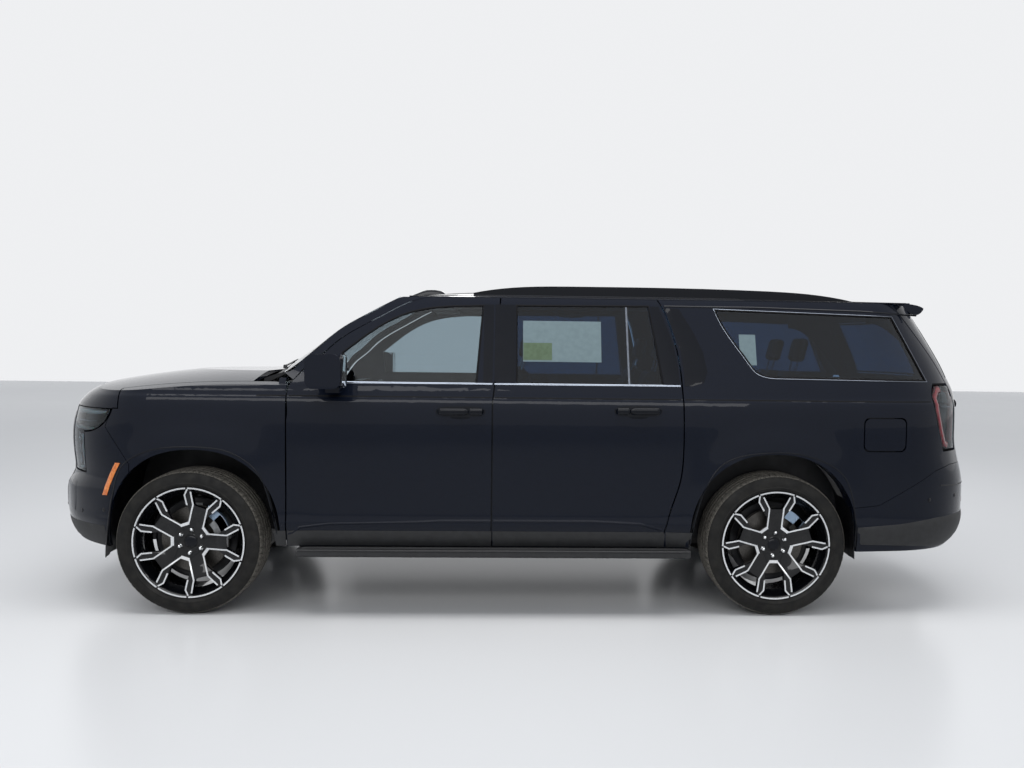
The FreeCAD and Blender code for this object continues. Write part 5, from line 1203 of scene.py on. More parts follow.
def build_lamps_front():
    """Headlamps: recessed housing, light bar, side blades, stacked projectors and a clear cover."""
    skin = Skin("headlamps", "front_bumper", "fender_left", "grille")
    inner = 215.0
    back = skin.round(NOSE, [(-2340, 1170), (-2372, 1112), (-2420, 1076), (-2470, 1056), (-2545, 1044),
            (-2542, 806)])
    border = back + [(inner, 806), (inner, 1180)] + [(back[0][0], 1180)]
    form = Form()
    patch(form, skin, NOSE, border, -42.0, 5.0, piano_black_moulding, 22.0)
    rim = subdivided(border + border[:1], 30)[:-1]
    fronts = [skin.at(NOSE, a, b) - outward(NOSE, a) * 2.0 for a, b in rim]
    deep = [p - outward(NOSE, a) * 44.0 for p, (a, b) in zip(fronts, rim)]
    out = [p + (Vector((0, 0, 3.0)) if b > 1100 else Vector((0, 0, 0))) for p, (a, b) in zip(fronts, rim)]
    loft(form, [fronts, deep, [p + outward(NOSE, a) * -3.0 for p, (a, b) in zip(deep, rim)],
            [p - outward(NOSE, a) * 3.0 for p, (a, b) in zip(out, rim)]], piano_black_moulding,
            capped=False)
    for z, places, lift, depth, maker, crown, widths in (
            (1157, [(-2600, 1157), (-2525, 1157), (-2440, 1157), (-2372, 1160)], -12.0, 26.0,
                frosted_light_guide, 5.0, tapered(25.0, 12.0, 0.72)),
            (1101, [(-2600, 1101), (-2520, 1103), (-2437, 1106)], -16.0, 22.0, vacuum_metallised_reflector,
                4.0, tapered(11.0, 5.0, 0.6)),
            (1056, [(-2600, 1056), (-2530, 1058), (-2475, 1062)], -14.0, 24.0, frosted_light_guide, 4.0,
                tapered(15.0, 7.0, 0.6))):
        strip(form, skin, NOSE, [(inner + 6, z), (300, z)] + skin.round(NOSE, places), widths, lift, depth,
                maker, 22.0, crown)
    guide = skin.round(NOSE, [(-2556, 1020), (-2556, 830)])
    edge = min(g[0] for g in guide)
    strip(form, skin, NOSE, [(edge - 12, 1024), (edge - 8, 830), (edge - 90, 820)], 15.0, -10.0, 26.0,
            frosted_light_guide, 18.0, 5.0)
    for z in (868.0, 934.0, 1000.0):
        centre = skin.at(NOSE, 300, z) - outward(NOSE, 300) * 40.0
        bowl, lens = Form(), Form()
        lathe(bowl, [(8, -4), (22, 4), (29, 18), (31, 24), (33, 24), (33, -6), (8, -8)],
                vacuum_metallised_reflector, 40)
        lathe(lens, [(0.01, 17), (8, 15.5), (15, 10), (18.5, 2), (18.5, -2), (0.01, -2)], clear_lamp_cover,
                36, closed=False)
        for part in (bowl, lens):
            set_in(form, part, centre, NOSE, 300)
    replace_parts(both_sides(form, "headlamp", "body", "lens"), "headlamps")
    form = Form()
    patch(form, skin, NOSE, border, -1.5, 3.0, clear_lamp_cover, 18.0, 0.8)
    both_sides(form, "headlamp_cover", "body", "lens")


def set_in(form, part, centre, side, a):
    """Add a turned part at a place of the skin, its axis pointing outwards."""
    turn = outward(side, a).to_track_quat("Y", "Z").to_matrix()
    form.merge(part.moved(lambda p: centre + turn @ p))


def park_sensor(form, skin, side, a, b):
    """Round parking sensor set flush in the bumper."""
    sensor = Form()
    lathe(sensor, [(0.01, 2.2), (7.5, 2.0), (8.5, 1.2), (9.5, 2.0), (11.5, 1.0), (11.8, -3), (0.01, -3)],
            satin_black_moulding, 28, closed=False)
    set_in(form, sensor, skin.at(side, a, b), side, a)


def build_grille():
    """Grille: recessed mesh behind broad gloss bars in a moulded surround."""
    skin = Skin("grille", "front_bumper", "headlamps")
    low, high, wide = 574.0, 1136.0, 596.0
    form = Form()
    outline = [(-wide, 640), (-wide + 40, low), (wide - 40, low), (wide, 640), (wide, high), (-wide, high)]
    patch(form, skin, FRONT, outline, -62.0, 5.0, satin_black_moulding, 60.0)
    for i in range(33):
        y = -wide + 20 + (2 * wide - 40) * i / 32.0
        strip(form, skin, FRONT, [(y, low + 12), (y, high - 6)], 7.0, -40.0, 18.0, satin_black_moulding,
                80.0, 2.0)
    for i in range(12):
        z = low + 24 + (high - low - 40) * i / 11.0
        strip(form, skin, FRONT, [(-wide + 8, z), (wide - 8, z)], 8.0, -34.0, 20.0, satin_black_moulding,
                60.0, 2.5)
    for z, high_bar in ((1108, 30), (1000, 34), (892, 30), (760, 26)):
        strip(form, skin, FRONT, [(-wide + 4, z), (wide - 4, z)], high_bar, -16.0, 30.0,
                piano_black_moulding, 40.0, 9.0)
    strip(form, skin, FRONT, grown(outline, -2.0), 30.0, -2.0, 50.0, piano_black_moulding, 40.0, 5.0,
            closed=True)
    strip(form, skin, FRONT, grown(outline, -19.0), 5.0, 0.0, 20.0, bright_rolled_trim, 40.0, 2.0,
            closed=True)
    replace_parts(form.piece("grille_mesh", "body", "trim"), "grille")
    bumper = Skin("front_bumper")
    form = Form()
    patch(form, bumper, FRONT, [(-430, 414), (430, 414), (470, 476), (470, 492), (-470, 492), (-470, 476)],
            6.0, 6.0, satin_black_moulding, 60.0, 2.0)
    for i in range(5):
        z = 424 + 14 * i
        strip(form, bumper, FRONT, [(-420, z), (420, z)], 5.0, 8.0, 4.0, piano_black_moulding, 60.0, 3.0)
    for y in (-330, 330):
        tube(form, [tuple(bumper.at(FRONT, y + 24 * math.cos(t / 3.0),
                548 + 24 * math.sin(t / 3.0)) + Vector((-4, 0, 0))) for t in range(19)], 4.0,
                satin_black_moulding, 8, closed=True)
    form.piece("bumper_intake", "body", "trim")
    form = Form()
    patch(form, bumper, NOSE, [(215, 560), (330, 552), (352, 640), (348, 742), (228, 752)], 2.0, 8.0,
            baked_black_enamel, 22.0, 2.0)
    both_sides(form, "air_curtain", "body", "trim")
    form = Form()
    for side, a, b in ((FRONT, -180, 560), (FRONT, -520, 566), (NOSE, 420, 575), (NOSE, 640, 600)):
        park_sensor(form, bumper, side, a, b)
    both_sides(form, "park_sensors", "body", "trim")


def screen_foot(glass, y):
    """Foremost place of the windscreen at that place across the vehicle."""
    probe, place = -1475.0, None
    while place is None and probe < -1100.0:
        place = glass.hit(TOP, probe, y)
        probe += 6.0
    return place


def build_cowl():
    """Cowl cover with its screen wipers at the foot of the windscreen."""
    glass = Skin("windshield")
    form = Form()
    rows = []
    for i in range(41):
        y = -800 + 1600 * i / 40.0
        base = screen_foot(glass, y)
        foot = base.x + 6.0
        top = base.z + 2.0
        lip = -1504.0
        rows.append([Vector((foot + 20, y, top + 8)), Vector((foot, y, top + 2)),
                Vector((foot - 24, y, top - 12)), Vector((0.5 * (foot + lip), y, min(top - 22, 1386.0))),
                Vector((lip, y, min(top - 24, 1362.0))), Vector((lip, y, min(top - 40, 1330.0))),
                Vector((0.5 * (foot + lip), y, min(top - 34, 1360.0))), Vector((foot + 20, y, top - 10))])
    loft(form, rows, satin_black_moulding)
    form.piece("cowl_cover", "body", "trim")
    form = Form()
    for pivot, reach in ((-560.0, 560.0), (60.0, 560.0)):
        def rest(y, up):
            return glass.at(TOP, screen_foot(glass, y).x + 38.0, y) + Vector((0, 0, up - 6.0))

        blade = [tuple(rest(pivot + 40 + reach * i / 12.0, 8)) for i in range(13)]
        tube(form, blade, 5.0, extruded_seal, 8, flat=1.6)
        tube(form, [(p[0], p[1], p[2] + 4) for p in blade], 3.0, satin_black_moulding, 8)
        start = rest(pivot, 6) + Vector((-48, 0, -16))
        middle = Vector(blade[6]) + Vector((0, 0, 6))
        tube(form, [tuple(start), tuple(start + Vector((6, 30, 4))), tuple(middle)], 5.5,
                satin_black_moulding, 10)
        cap = Form()
        lathe(cap, [(0.01, 6), (9, 5), (12, 1), (13, -16), (0.01, -16)], satin_black_moulding, 28,
                closed=False)
        form.merge(cap.moved(lambda p: start + Vector((p.x, p.z, p.y))))
    form.piece("screen_wipers", "body", "trim")


# Roof
def build_roof():
    """Fin aerial, ditch seals and sunroof pane."""
    roof = Skin("roof")
    form = Form()
    crest = [(-757, 6), (-752, 12), (-719, 38), (-660, 58), (-615, 66), (-557, 60), (-510, 44), (-478, 14),
            (-470, 6)]
    sections = []
    for x, rise in smooth_path(crest, 32):
        base = roof.at(TOP, min(-470, max(-690, x)), 0).z - 3.0 + (0.0 if x > -690 else (x + 690) * 0.08)
        half = 6.0 + 34.0 * max(0.0, 1.0 - ((x + 590) / 175.0) ** 2) ** 0.6
        ring = []
        for k in range(16):
            a = math.pi * k / 15.0
            ring.append(Vector((x, -half * bent(math.cos(a), 1.4), base + max(1.0,
                    rise) * math.sin(a) ** 0.9)))
        sections.append(ring + [Vector((x, 0, base - 4))])
    loft(form, sections, piano_black_moulding)
    form.piece("fin_aerial", "body", "trim", 50.0)
    form = Form()
    strip(form, roof, TOP, [(-660, -722), (2360, -722)], 11.0, 0.5, 6.0, extruded_seal, 60.0, 2.0)
    both_sides(form, "roof_ditch_seal", "body", "rubber")
    form = Form()
    pane = [(-560, -430), (-560, 430), (-500, 450), (260, 450), (300, 430), (300, -430), (260, -450),
            (-500, -450)]
    patch(form, roof, TOP, pane[::-1], 1.5, 6.0, display_glass, 50.0, 1.0)
    strip(form, roof, TOP, grown(pane, 5.0), 9.0, 1.0, 6.0, extruded_seal, 50.0, 1.5, closed=True)
    form.piece("sunroof_pane", "body", "glass")


# Rear end
def build_lamps_rear():
    """Tail lamps: dark housing, red light guide, clear reversing lens and a clear cover."""
    skin = Skin("tail_lamps", "body_side_left", "liftgate")
    edge = [(2478, 1362), (2456, 1312), (2468, 1223), (2500, 1105), (2534, 1000), (2552, 990)]
    line = skin.round(TAIL, edge)
    inner = 268.0
    border = [(inner, 1362)] + [line[0]] + line[1:] + [(inner, 984)]
    form = Form()
    patch(form, skin, TAIL, border, -26.0, 5.0, grey_lens_moulding, 20.0)
    rim = subdivided(border + border[:1], 26)[:-1]
    fronts = [skin.at(TAIL, a, b) - outward(TAIL, a) * 2.0 for a, b in rim]
    deep = [p - outward(TAIL, a) * 30.0 for p, (a, b) in zip(fronts, rim)]
    deeper = [p - outward(TAIL, a) * 3.0 for p, (a, b) in zip(deep, rim)]
    close = [p - outward(TAIL, a) * 3.0 for p, (a, b) in zip(fronts, rim)]
    loft(form, [fronts, deep, deeper, close], piano_black_moulding, capped=False)
    blade_foot = line[2][0] - 62
    hook = [(line[0][0] - 60, 1344), (line[0][0] - 26, 1336), (line[1][0] - 26, 1300),
            (line[2][0] - 26, 1220), (line[3][0] - 26, 1105), (line[4][0] - 28, 1020),
            (line[4][0] - 60, 1008)]
    strip(form, skin, TAIL, hook, 40.0, -5.0, 22.0, red_lens_moulding, 18.0, 5.0)
    strip(form, skin, TAIL, [(inner + 24, 1330), (inner + 40, 1220), (inner + 60, 1030)], 26.0, -8.0, 22.0,
            red_lens_moulding, 18.0, 5.0)
    strip(form, skin, TAIL, [(inner + 70, 1236), (blade_foot, 1240)], 14.0, -9.0, 20.0,
            vacuum_metallised_reflector, 16.0, 4.0)
    patch(form, skin, TAIL, [(inner + 62, 1258), (line[1][0] - 66, 1262), (line[1][0] - 64, 1326),
            (inner + 58, 1322)], -14.0, 10.0, grey_lens_moulding, 20.0, 2.0)
    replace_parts(both_sides(form, "tail_lamp", "body", "red_lens"), "tail_lamps")
    form = Form()
    patch(form, skin, TAIL, border, -1.5, 3.0, clear_lamp_cover, 18.0, 0.8)
    both_sides(form, "tail_lamp_cover", "body", "lens")


def build_gate():
    """Liftgate garnish, blank plate in its recess, wiper, high brake lamp and glass seal."""
    skin = Skin("liftgate")
    form = Form()
    strip(form, skin, BACK, [(-700, 1252), (700, 1252)], 46.0, 3.0, 8.0, piano_black_moulding, 50.0, 7.0)
    strip(form, skin, BACK, [(-300, 1214), (300, 1214), (290, 1010), (-290, 1010)], 12.0, 2.0, 8.0,
            piano_black_moulding, 40.0, 4.0, closed=True)
    patch(form, skin, BACK, [(-290, 1016), (290, 1016), (294, 1208), (-294, 1208)], 1.0, 6.0,
            satin_black_moulding, 60.0)
    form.piece("gate_garnish", "liftgate", "trim")
    form = Form()
    middle = skin.at(BACK, 0, 1108)
    for low, high, maker, front in ((-152.5, 152.5, printed_paper, 7.0),
            (-157, 157, satin_black_moulding, 5.0)):
        tall = 76.0 if maker is printed_paper else 80.0
        box_form(form, (middle.x + 2, low, middle.z - tall), (middle.x + front, high, middle.z + tall),
                maker, 1.2)
    form.piece("blank_plate", "liftgate", "trim")
    glass = Skin("rear_glass", "liftgate")
    form = Form()
    hub = glass.at(BACK, 0, 1392) + Vector((10, 0, 0))
    arm = [tuple(hub), tuple(glass.at(BACK, -120, 1440) + Vector((16, 0, 0))),
            tuple(glass.at(BACK, -300, 1450) + Vector((12, 0, 0)))]
    tube(form, arm, 6.0, satin_black_moulding, 10)
    tube(form, [tuple(glass.at(BACK, y, 1446) + Vector((6, 0, 0))) for y in range(-470, -120, 25)], 5.0,
            extruded_seal, 8)
    cap = Form()
    lathe(cap, [(0.01, 12), (14, 10), (20, 2), (21, -12), (0.01, -12)], satin_black_moulding, 28,
            closed=False)
    form.merge(cap.moved(lambda p: hub + Vector((p.y, p.x, p.z))))
    form.piece("gate_wiper", "liftgate", "trim")
    form = Form()
    strip(form, glass, BACK, [(-700, 1412), (-618, 1764), (618, 1764), (700, 1412)], 10.0, 1.0, 6.0,
            extruded_seal, 40.0, 2.0, closed=True)
    form.piece("gate_glass_seal", "liftgate", "rubber")
    form = Form()
    strip(form, skin, BACK, [(-170, 1842), (170, 1842)], 12.0, 1.0, 6.0, red_lens_moulding, 30.0, 2.0)
    form.piece("high_brake_lamp", "liftgate", "red_lens")
    bumper = Skin("rear_bumper")
    form = Form()
    for i in range(7):
        strip(form, bumper, TOP, [(2722 + 12 * i, -560), (2722 + 12 * i, 560)], 5.0, 0.0, 3.0,
                vulcanised_rubber, 60.0, 2.0)
    form.piece("bumper_step_pad", "body", "trim")
    form = Form()
    patch(form, bumper, BACK, [(-700, 640), (-560, 640), (-560, 672), (-700, 672)], 2.0, 6.0,
            red_lens_moulding, 30.0, 1.0)
    strip(form, bumper, TAIL, [(60, 760), (300, 764), (480, 772)], 8.0, 0.5, 4.0, satin_black_moulding,
            30.0, 1.5)
    for side, a, b in ((BACK, -200, 690), (BACK, -460, 690), (TAIL, 330, 700), (TAIL, 560, 690)):
        park_sensor(form, bumper, side, a, b)
    both_sides(form, "tail_reflector", "body", "red_lens")


def build_label():
    """Blank sheets of paper on the rear panes, one of them tinted at its corner."""
    glass = Skin("glass_rear_left")
    form = Form()

    def on_pane(x, z):
        place = glass.at(LEFT, x, z)
        return Vector((x, place.y - 1.2, z))

    def leaf(x0, x1, z0, z1, maker, inward=0.0):
        rows, size, thick = 9, 7, 0.6
        points = [on_pane(x0 + (x1 - x0) * i / (rows - 1), z0 + (z1 - z0) * j / (size - 1)) + Vector((0,
                inward, 0)) for i in range(rows) for j in range(size)]
        back = [p + Vector((0, thick, 0)) for p in points]
        faces = net(rows, size, False, False)
        faces += [tuple(rows * size + i for i in (a, d, c, b)) for a, b, c, d in faces]
        form.add(points + back, faces, maker)

    # Both sheets carry painted shade: their colours are darkened and blued as if seen through the tinted
    # pane.
    leaf(20, 480, 1480, 1720, painted_shade_paper)
    leaf(22, 190, 1490, 1590, painted_shade_tinted_paper, -1.0)
    form.piece("paper_label", "door_rear_left", "trim", weld=False)
    glass = Skin("quarter_glass")
    form = Form()
    # This sheet also carries the painted shade of the tinted pane.
    leaf(1300, 1398, 1474, 1655, painted_shade_paper)
    form.piece("paper_notice", "body", "trim", weld=False)


# Cabin: of each seat row the front foot, place across, width, height of the floor and height of the back
SEAT_ROWS = {
        "front": (-640.0, 435.0, 520.0, 580.0, 600.0),
        "second": (200.0, 435.0, 520.0, 580.0, 600.0),
        "third": (1180.0, 260.0, 480.0, 700.0, 480.0)}
SEAT_LEAN = math.radians(14.0)
HINGE_X, HINGE_Z = 468.0, 300.0
# Seat covers: grid of the cloth, and how far pads and headrests may swell
COVER_GRID, PAD_SWELL, REST_SWELL = 10.0, 16.0, 10.0


def plumped(made, voxel, cap):
    """Swell a sewn cover by its foam's pressure; no point moves further than the cap."""
    woven = made.modifiers.new("cover", "REMESH")
    woven.mode, woven.voxel_size, woven.use_smooth_shade = "VOXEL", voxel * MM, True
    scene = bpy.context.scene
    bpy.context.view_layer.update()
    cover = bpy.data.meshes.new_from_object(made.evaluated_get(bpy.context.evaluated_depsgraph_get()))
    made.modifiers.clear()
    made.data = cover
    soften(cover, 6)
    cloth = made.modifiers.new("foam", "CLOTH")
    cloth.settings.use_pressure = True
    cloth.settings.uniform_pressure_force = 4.0
    cloth.settings.effector_weights.gravity = 0.0
    cloth.settings.quality = 4
    start = [v.co.copy() for v in cover.vertices]
    for moment in range(1, 21):
        scene.frame_set(moment)
    shown = made.evaluated_get(bpy.context.evaluated_depsgraph_get()).data
    for vertex, before, after in zip(cover.vertices, start, [v.co.copy() for v in shown.vertices]):
        step = after - before
        vertex.co = before + step * min(1.0, cap * MM / max(step.length, 1e-9))
    made.modifiers.clear()
    scene.frame_set(1)


def soften(mesh, rounds):
    """Relax a cover so that its panels blend into each other."""
    work = bmesh.new()
    work.from_mesh(mesh)
    for _ in range(rounds):
        bmesh.ops.smooth_vert(work, verts=work.verts, factor=0.5, use_axis_x=True, use_axis_y=True,
                use_axis_z=True)
    work.to_mesh(mesh)
    work.free()
    mesh.polygons.foreach_set("use_smooth", [True] * len(mesh.polygons))


def seat_blocks(width, rise):
    """Cushion, back and headrest of one seat as blocks of foam, from the cushion's front foot."""
    half = width / 2
    cushion, back, rest = Form(), Form(), Form()
    box_form(cushion, (16, -half + 60, 192), (505, half - 60, 296), stitched_leather, 34)
    for sign in (-1, 1):
        y0, y1 = sorted((sign * (half - 92), sign * (half - 14)))
        box_form(cushion, (40, y0, 194), (490, y1, 316), stitched_leather, 30)
        box_form(back, (HINGE_X - 22, y0, 330), (HINGE_X + 100, y1, 300 + rise * 0.8), stitched_leather, 30)
    box_form(back, (HINGE_X + 14, -half + 62, 312), (HINGE_X + 112, half - 62, 288 + rise),
            stitched_leather, 34)
    box_form(back, (HINGE_X + 22, -half * 0.72, 240 + rise * 0.8), (HINGE_X + 104, half * 0.72, 290 + rise),
            stitched_leather, 30)
    box_form(rest, (HINGE_X + 30, -width * 0.23, 342 + rise), (HINGE_X + 92, width * 0.23, 498 + rise),
            stitched_leather, 28)

    def leaned(p):
        x, z = p.x - HINGE_X, p.z - HINGE_Z
        c, s = math.cos(SEAT_LEAN), math.sin(SEAT_LEAN)
        return Vector((HINGE_X + x * c + z * s, p.y, HINGE_Z - x * s + z * c))

    return {"seat_cushion": cushion, "seat_back": back.moved(leaned), "seat_headrest": rest.moved(leaned)}


def seam_on(form, tree, route, way):
    """Sewn seam along a route looked for on a pad from one direction."""
    path = []
    for place in stretched(route, 14):
        start = place - Vector(way) * 400.0
        found = tree.ray_cast(start * MM, Vector(way))
        if found[0] is not None:
            path.append(found[0] / MM)
    if len(path) > 2:
        tube(form, path, 1.8, stitched_leather, 6)


def stretched(points, step):
    """Places every few millimetres along a 3-D path."""
    out = [Vector(points[0])]
    for a, b in zip(points, points[1:]):
        a, b = Vector(a), Vector(b)
        count = max(1, int((b - a).length / step))
        out += [a + (b - a) * (i + 1) / count for i in range(count)]
    return out


def build_seats():
    """Six seats: plumped leather pads with seams, over moulded shields and bright posts."""
    shapes = {}
    for row, (x, y, width, base, rise) in SEAT_ROWS.items():
        key = (width, rise)
        if key not in shapes:
            shapes[key] = {}
            for name, form in seat_blocks(width, rise).items():
                first = form.piece(name + "_cut", "body", "upholstery", 35.0, weld=False)
                plumped(first, COVER_GRID, REST_SWELL if name == "seat_headrest" else PAD_SWELL)
                shapes[key][name] = first.data
                bpy.data.objects.remove(first)
        for side, sign in (("left", -1.0), ("right", 1.0)):
            pads = []
            for name, cover in shapes[key].items():
                mesh = cover.copy()
                mesh.transform(Matrix.Translation(Vector((x, sign * y, base)) * MM))
                mesh.materials.clear()
                mesh.materials.append(finish(stitched_leather))
                pad = bpy.data.objects.new("%s_%s_%s" % (name, row, side), mesh)
                bpy.context.scene.collection.objects.link(pad)
                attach(pad, "body")
                pads.append(pad)
            fittings = seat_fittings(x, sign * y, width, base, rise, shapes[key])
            pads.append(fittings.piece("seat_fittings_%s_%s" % (row, side), "body", "interior", 30.0))
            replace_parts(pads[0], "front_seats" if row == "front" else "rear_seats")


def seat_fittings(x, y, width, base, rise, covers):
    """Side shields, runners, headrest posts and seams of one seat."""
    form = Form()
    half = width / 2
    place = Vector((x, y, base))
    for sign in (-1, 1):
        y0, y1 = sorted((sign * (half - 26), sign * (half + 4 if width > 500 else half - 4)))
        box_form(form, (x + 50, y + y0, base + 116), (x + 500, y + y1, base + 214), soft_touch_dash, 14)
        y0, y1 = sorted((sign * (half - 130), sign * (half - 96)))
        box_form(form, (x + 70, y + y0, base + 1), (x + 455, y + y1, base + 46), coated_frame_steel, 4)
        for foot in (110, 400):
            box_form(form, (x + foot, y + y0 + 4, base + 40), (x + foot + 40, y + y1 - 4, base + 200),
                    coated_frame_steel, 4)
    box_form(form, (x + 60, y - half + 60, base + 150), (x + 460, y + half - 60, base + 200),
            soft_touch_dash, 10)
    c, s = math.cos(SEAT_LEAN), math.sin(SEAT_LEAN)
    for across in (-62.0, 62.0):
        foot, head = (Vector((HINGE_X + 60 * c + up * s, across,
                HINGE_Z - 60 * s + up * c)) + place for up in (rise - 40, rise + 90))
        tube(form, [foot, foot.lerp(head, 0.5), head], 6.5, machined_aluminium, 16)
    trees = {}
    for name, cover in covers.items():
        trees[name] = BVHTree.FromPolygons([v.co for v in cover.vertices],
                [tuple(p.vertices) for p in cover.polygons])
    seams = Form()
    inner = half - 98
    for across in (-inner, inner):
        seam_on(seams, trees["seat_cushion"], [(30, across, 300), (470, across, 300)], (0, 0, -1))
    for along in (170.0, 330.0):
        seam_on(seams, trees["seat_cushion"], [(along, -inner, 300), (along, inner, 300)], (0, 0, -1))
    for up in (rise * 0.45, rise * 0.72):
        seam_on(seams, trees["seat_back"], [(400, -inner, 330 + up), (400, inner, 330 + up)], (1, 0, 0))
    for across in (-inner, inner):
        seam_on(seams, trees["seat_back"], [(400, across, 380), (400, across, 290 + rise * 0.92)], (1, 0, 0))
    return form.merge(seams.moved(lambda p: p + place))


def build_steering_wheel():
    """Steering wheel: leather rim with thumb rests, three spokes, airbag pad and switch pods."""
    form = Form()
    axis, up = Vector((0.906, 0.0, 0.423)), Vector((-0.423, 0.0, 0.906))
    hub, across = Vector((-800.0, -400.0, 1165.0)), Vector((0.0, 1.0, 0.0))
    ring = [hub + across * (185.0 * math.cos(turn)) + up * (185.0 * math.sin(turn)) for turn in circle(72)]

    def grip_size(share):
        turn = 2 * math.pi * share
        return 14.2 + 1.6 * max(0.0, math.cos(2 * (turn - 0.5)), math.cos(2 * (turn + 0.5))) ** 6

    tube(form, ring, grip_size, stitched_leather, 16, closed=True)
    for angle in (4.0, 176.0, 270.0):
        way = across * math.cos(math.radians(angle)) + up * math.sin(math.radians(angle))
        side = way.cross(axis)
        sections = []
        for reach, wide, thick in ((40, 34, 11), (90, 26, 9), (150, 20, 8), (182, 24, 9)):
            middle = hub + way * reach - axis * 6.0
            sections.append([middle + side * (wide * math.cos(t)) + axis * (thick * math.sin(t)) for t in
                    circle(16)])
        loft(form, sections, satin_black_moulding)
    sections = []
    for depth, size in ((-26, 56), (-8, 66), (4, 64), (10, 52), (13, 30)):
        sections.append([hub + axis * depth + across * (size * 1.12 * bent(math.cos(t),
                0.8)) + up * (size * 0.86 * bent(math.sin(t), 0.8)) for t in circle(40)])
    loft(form, sections, soft_touch_dash)
    for sign in (-1, 1):
        middle = hub + across * (sign * 104.0) + axis * 4.0
        pod = [[middle + axis * d + across * (24 * k * math.cos(t)) + up * (17 * k * math.sin(t)) for t in
                circle(24)] for d, k in ((-8, 1.0), (2, 1.0), (5, 0.85))]
        loft(form, pod, piano_black_moulding)
    tube(form, [hub - axis * 100, hub - axis * 60, hub - axis * 20], 12.0, coated_frame_steel, 20)
    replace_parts(form.piece("leather_steering_wheel", "steering_wheel", "interior"), "steering_wheel")


def build_dash_fittings():
    """Instrument display, centre screen, vents, selector and console lid."""
    form = Form()
    box_form(form, (-992, -575, 1204), (-986.5, -228, 1290), display_glass, 2.5)
    box_form(form, (-1031, -182, 1196), (-1025, 182, 1324), display_glass, 3)
    for y0, y1 in ((-820, -640), (-190, -20), (20, 190), (640, 820)):
        z0, z1 = (1120, 1168) if abs(y0 + y1) < 500 else (1150, 1215)
        for k in range(5):
            z = z0 + (z1 - z0) * (k + 0.5) / 5
            box_form(form, (-1030, y0, z - 2.5), (-1006, y1, z + 2.5), piano_black_moulding, 1.5)
        for foot in (z0 - 8, z1 + 2):
            box_form(form, (-1034, y0 - 8, foot), (-1012, y1 + 8, foot + 6), machined_aluminium, 2)
    box_form(form, (-1030, 215, 1080), (-1008, 790, 1092), machined_aluminium, 4)
    box_form(form, (-560, -128, 918), (-190, 128, 946), stitched_leather, 12)
    box_form(form, (-930, -120, 918), (-620, 120, 925), piano_black_moulding, 3)
    for y in (-52.0, 52.0):
        cup = Form()
        lathe(cup, [(36, 0), (42, 0), (43, 4), (41, 6), (36, 5)], machined_aluminium, 40)
        form.merge(cup.moved(lambda p: Vector((p.x - 700.0, p.z + y, 924.0 + p.y))))
    tube(form, [(-905, 0, 922), (-908, 0, 960), (-915, 0, 992)], lambda s: 11.0 + 8.0 * s, stitched_leather,
            18)
    form.piece("dash_fittings", "body", "interior", 35.0)


def build_headliner():
    """Knitted headliner under the roof skin, with sun visors and grab handles."""
    tree = Skin("roof").tree
    rows = []
    for i in range(25):
        x = -556.0 + 2860.0 * i / 24
        row = []
        for j in range(17):
            y = -660.0 + 1320.0 * j / 16
            found = tree.ray_cast(Vector((x, y, 1600.0)), Vector((0, 0, 1)))[0]
            row.append(Vector((x, y, (found.z if found is not None else 1853.0) - 16.0)))
        rows.append(row)
    form = Form()
    loft(form, [row + [p - Vector((0, 0, 5.0)) for p in reversed(row)] for row in rows], knitted_headliner)
    for sign in (-1, 1):
        y0, y1 = sorted((sign * 150.0, sign * 560.0))
        box_form(form, (-585, y0, 1800), (-420, y1, 1818), knitted_headliner, 7)
        for x in (-300.0, 420.0):
            y = sign * 735.0
            tube(form, smooth_path([(x - 105, y, 1826), (x - 92, y - sign * 24, 1806),
                    (x, y - sign * 30, 1799), (x + 92, y - sign * 24, 1806), (x + 105, y, 1826)], 24), 8.5,
                    soft_touch_dash, 12)
    form.piece("headliner", "body", "interior")


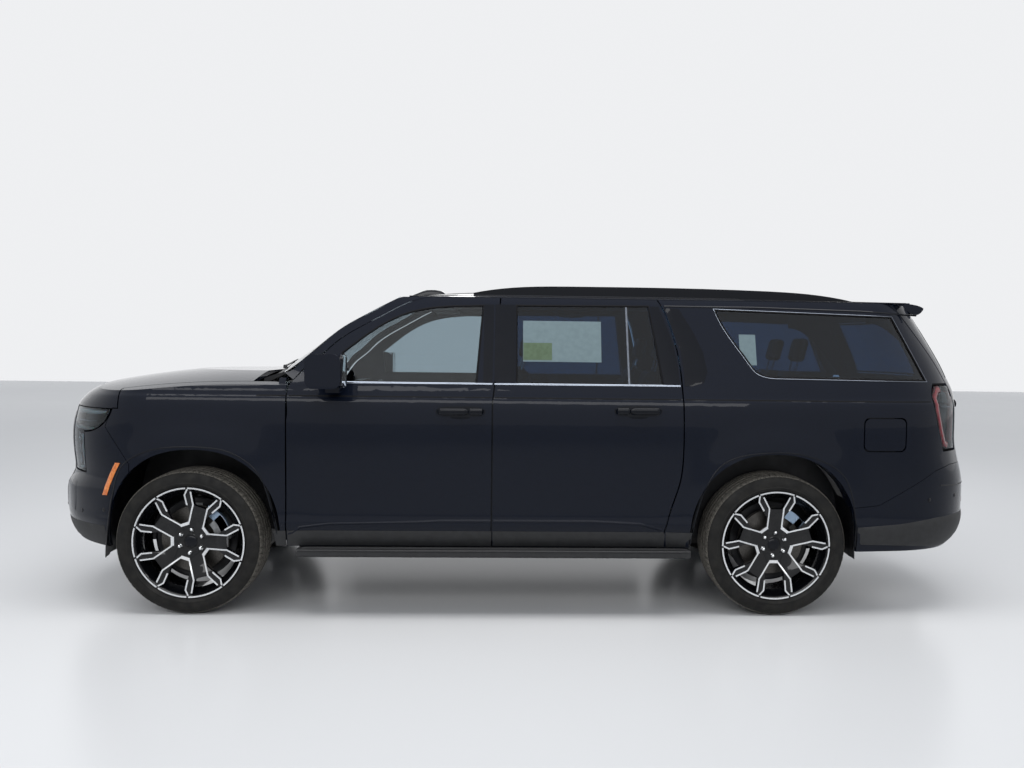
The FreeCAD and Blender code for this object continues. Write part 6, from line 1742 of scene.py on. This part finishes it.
def build_door_cards():
    """Trim panel inside each door, with armrest, pull, speaker grille and storage pocket."""
    for name, x0, x1 in (("door_front", -1268.0, -225.0), ("door_rear", -40.0, 640.0)):
        form = Form()
        box_form(form, (x0, -906.0, 640.0), (x1, -896.5, 1336.0), soft_touch_dash, 4)
        box_form(form, (x0 + 30, -898.0, 1010.0), (x1 - 30, -891.0, 1300.0), stitched_leather, 6)
        arm0, arm1 = x0 + (x1 - x0) * 0.36, x1 - 60
        box_form(form, (arm0, -898.0, 905.0), (arm1, -832.0, 962.0), stitched_leather, 16)
        box_form(form, (arm0 + 16, -888.0, 960.0), (arm0 + 210, -848.0, 966.0), piano_black_moulding, 3)
        tube(form, smooth_path([(arm0 + 40, -894, 1000), (arm0 + 52, -864, 1006), (arm0 + 150, -860, 1040),
                (arm0 + 246, -866, 1076), (arm0 + 258, -894, 1080)], 24), 9.0, satin_black_moulding, 12)
        box_form(form, (x0 + 60, -897.0, 1130.0), (x0 + 196, -886.0, 1172.0), machined_aluminium, 5)
        speaker = Form()
        lathe(speaker, [(0.01, 0), (84, 0), (90, 2), (92, 8), (0.01, 8)], satin_black_moulding, 48,
                closed=False)
        for ring in range(1, 6):
            lathe(speaker, [(15.0 * ring, -2), (15.0 * ring + 3, -3), (15.0 * ring + 6, -2)],
                    coated_frame_steel, 48, closed=False)
        form.merge(speaker.moved(lambda p: Vector((p.x + x0 + 150, p.y - 900.0, p.z + 780.0))))
        box_form(form, (x0 + 270, -898.0, 668.0), (x1 - 40, -868.0, 800.0), soft_touch_dash, 10)
        both_sides(form, "card_of_" + name, name + "_SIDE", "interior", 30.0)


def build_brakes():
    """Pressed dust shield behind each disc and a lacquered cover on each caliper."""
    near = DISC_NEAR
    for axle, x, carrier in (("front", FRONT_AXLE, "knuckle_SIDE"), ("rear", REAR_AXLE, "body")):
        form = Form()
        lathe(form, [(70, near + 46), (150, near + 44), (232, near + 40), (236, near + 34),
                (239, near + 35), (236, near + 44), (150, near + 49), (70, near + 50)],
                satin_black_moulding, 72)
        slab(form, arc(222, 12, 66, 19) + arc(164, 66, 12, 19), near - 44, near - 14, lacquered_caliper,
                edge=5.0)
        form = form.moved(lambda p: Vector((p.x + x, p.y - WHEEL_Y, p.z + WHEEL_Z)))
        both_sides(form, "brake_cover_" + axle, carrier, "steel", 30.0)


place_camera()
build_studio()
dress_nodes()
build_wheels()
build_wheelhouses()
build_cladding()
build_creases()
build_windows()
build_handles()
build_side_lamp()
build_boards()
build_mirrors()
build_lamps_front()
build_grille()
build_cowl()
build_roof()
build_lamps_rear()
build_gate()
build_label()
build_seats()
build_steering_wheel()
build_dash_fittings()
build_headliner()
build_door_cards()
build_brakes()

bpy.context.scene.view_settings.view_transform = "Standard"
